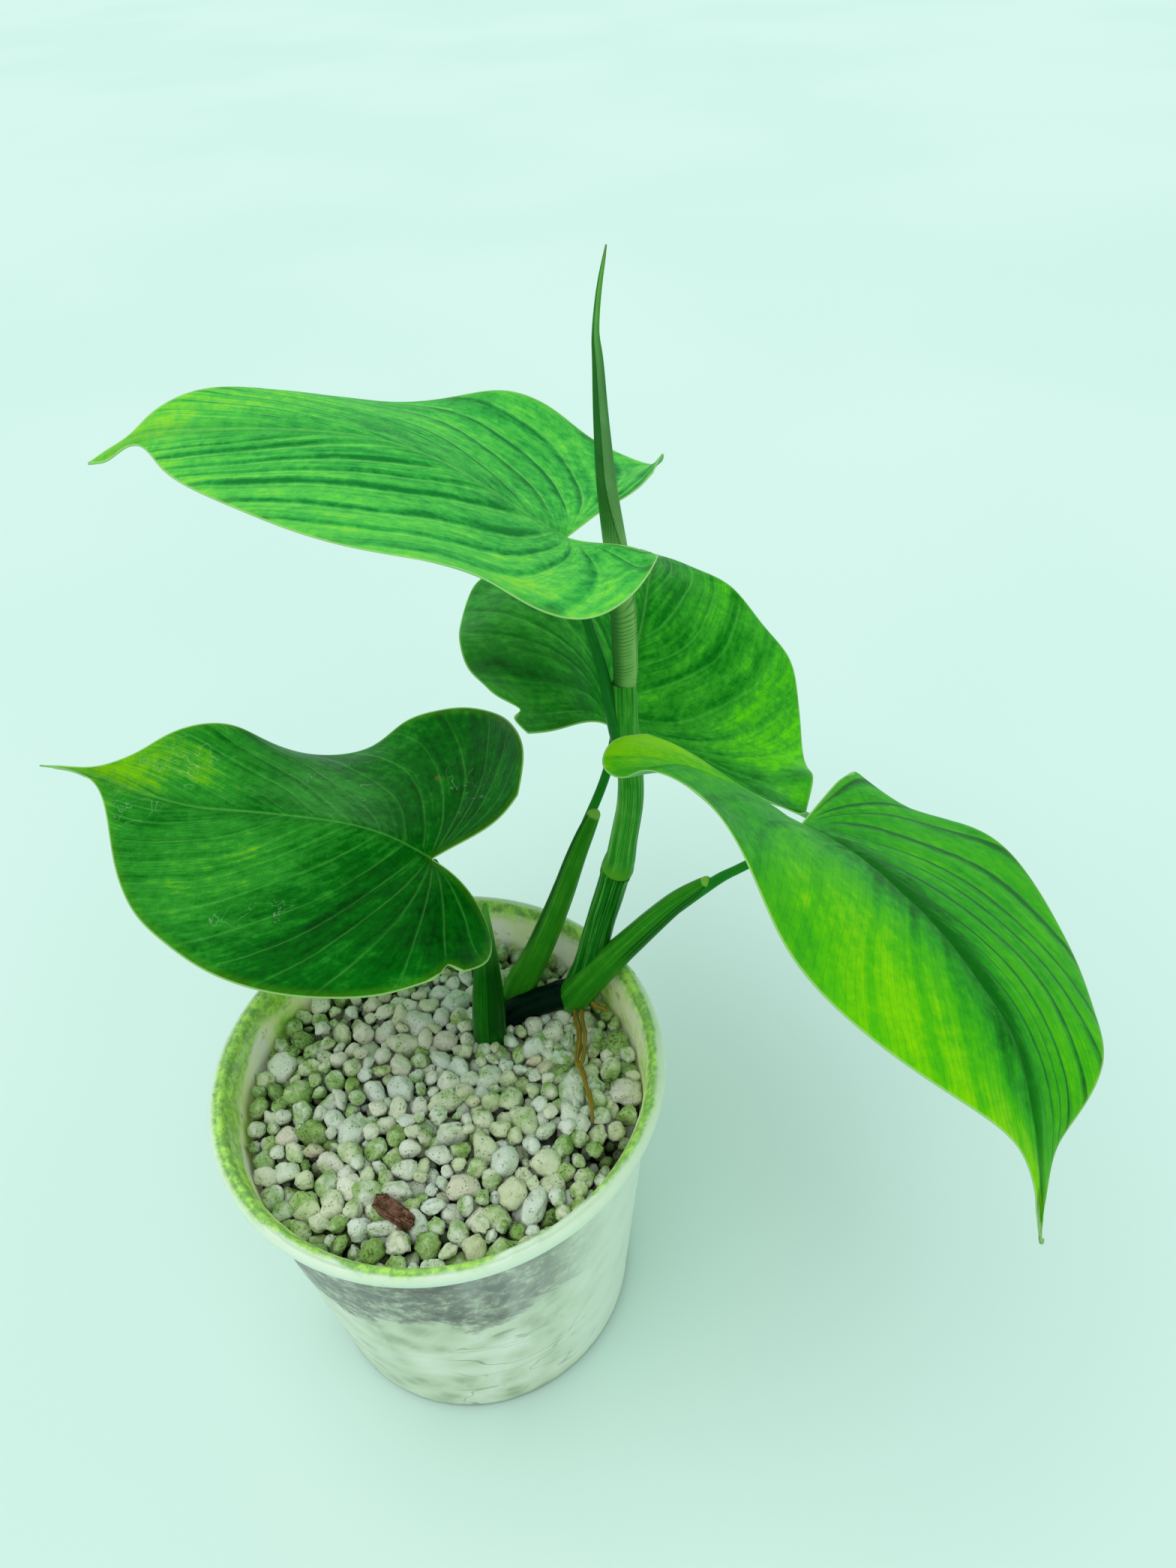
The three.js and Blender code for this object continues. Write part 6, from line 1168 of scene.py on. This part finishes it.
    # lip
    lipc = m.mix(m.mul(m.noise(90, 3), 0.5), "#cfe6cc", "#e6f4e4")
    alg = m.noise(120, 5, 0.65)
    spread = m.noise(20, 3, 0.5)
    where = m.add(m.add(m.mul(m.smooth(fx, -0.55, -0.92), 0.30), m.mul(m.smooth(fx, 0.60, 0.95), 0.18)), m.mul(m.smooth(fy, 0.93, 0.99), 0.24))
    where = m.add(where, m.mul(m.smooth(fy, -0.2, -0.8), 0.10))
    rad = m.mul(m.math("SQRT", m.add(m.mul(X, X), m.mul(Y, Y))), 1000.0)
    inner_edge = m.smooth(rad, 48.9, 47.0)
    grow = m.add(m.add(m.mul(alg, 0.55), m.mul(spread, 0.55)), where)
    green = m.mix(m.smooth(m.noise(420, 4, 0.7), 0.38, 0.62), "#64a810", "#b0e840")
    lipg = m.mul(m.smooth(m.add(grow, m.mul(inner_edge, 0.26)), 0.66, 0.86), m.smooth(rad, 49.7, 48.2, 0.12, 1.0))
    lipc = m.mix(m.mul(lipg, 0.85), lipc, green)
    lipd = m.mul(m.smooth(m.noise(520, 4, 0.7), 0.60, 0.70), m.smooth(grow, 0.70, 0.92))
    lipc = m.mix(m.mul(lipd, 0.6), lipc, "#3a5c1c")
    # inner wall: cream deposit and algae smears
    smooth_in = m.noise(1.0, 5, 0.65, vec=m.vec(m.mul(X, 70), m.mul(Y, 70), m.mul(Z, 55)), dist=0.5)
    inw = m.ramp(smooth_in, [(0.28, "#9ccc50"), (0.38, "#ccec90"), (0.48, "#eefac8"), (0.62, "#fdfff0")])
    olive = m.mul(m.smooth(m.noise(260, 4, 0.7), 0.58, 0.68), m.smooth(hz, 88.5, 80))
    inw = m.mix(m.mul(olive, 0.55), inw, "#7b8f4a")
    side_l = m.smooth(fx, -0.35, -0.85)
    low_edge = m.sub(86.8, m.mul(side_l, m.mul(m.smooth(spread, 0.45, 0.65), 6.0)))
    top_green = m.mul(m.smooth(m.sub(hz, low_edge), -1.6, 1.8), m.smooth(m.add(alg, where), 0.42, 0.64))
    inw = m.mix(m.mul(top_green, 0.72), inw, green)
    col = m.mix(m.smooth(zone, 0.35, 0.85), lower, lipc)
    col = m.mix(m.smooth(zone, 1.35, 1.9), col, inw)
    h = m.add(m.mul(m.noise(500, 3), 0.25), m.add(m.mul(m.mul(alg, lipg), 1.2), m.mul(m.mul(smooth_in, m.smooth(zone, 1.4, 1.9)), 1.2)))
    ro = m.add(m.add(m.mul(m.mul(lipg, m.smooth(zone, 0.8, 1.0)), 0.3), m.mul(m.smooth(zone, 1.4, 1.9), 0.3)), m.add(m.mul(m.sub(cloudy, 0.5), 0.2), 0.32))
    m.finish(col, ro, m.bump(h, 0.3, 0.0004))
    b = m.bsdf.inputs
    b["Subsurface Weight"].default_value = 0.55
    b["Subsurface Radius"].default_value = (1.0, 1.0, 0.8)
    b["Subsurface Scale"].default_value = 0.003
    o = mesh_object("pot_cup", v * MM, faces, attrs, m.mat)
    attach(o, "root")
    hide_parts("pot")
    return o


def build_stage():
    s = 6.0
    n = 2
    v = [(-s + 2 * s * i / n, -s + 2 * s * j / n, 0.0) for i in range(n + 1) for j in range(n + 1)]
    f = [(i * (n + 1) + j, (i + 1) * (n + 1) + j, (i + 1) * (n + 1) + j + 1, i * (n + 1) + j + 1) for i in range(n) for j in range(n)]
    m = Nodes("backdrop", rough=1.0, spec=0.0)
    tint = m.mix(m.smooth(m.noise(2.2, 2), 0.3, 0.7), srgb((204, 234, 226)), srgb((210, 237, 229)))
    m.finish(tint)
    floor = mesh_object("floor", np.array(v), f, mat=m.mat, smooth=False)
    world = bpy.data.worlds.new("studio")
    world.use_nodes = True
    bg = world.node_tree.nodes["Background"]
    bg.inputs["Color"].default_value = (0.94, 1.0, 0.985, 1)
    bg.inputs["Strength"].default_value = 0.81
    scene.world = world
    sun = bpy.data.lights.new("soft_key", "SUN")
    sun.angle = math.radians(56)
    sun.energy = 0.98
    o = bpy.data.objects.new("soft_key", sun)
    o.location = (-0.25, -0.15, 1.2)
    scene.collection.objects.link(o)
    aim(o, (0.05, 0.0, 0.1))


scene.view_settings.view_transform = "Standard"
build_camera()
build_stage()
build_leaves()
build_stems()
build_gravel()
build_chip()
build_pot()
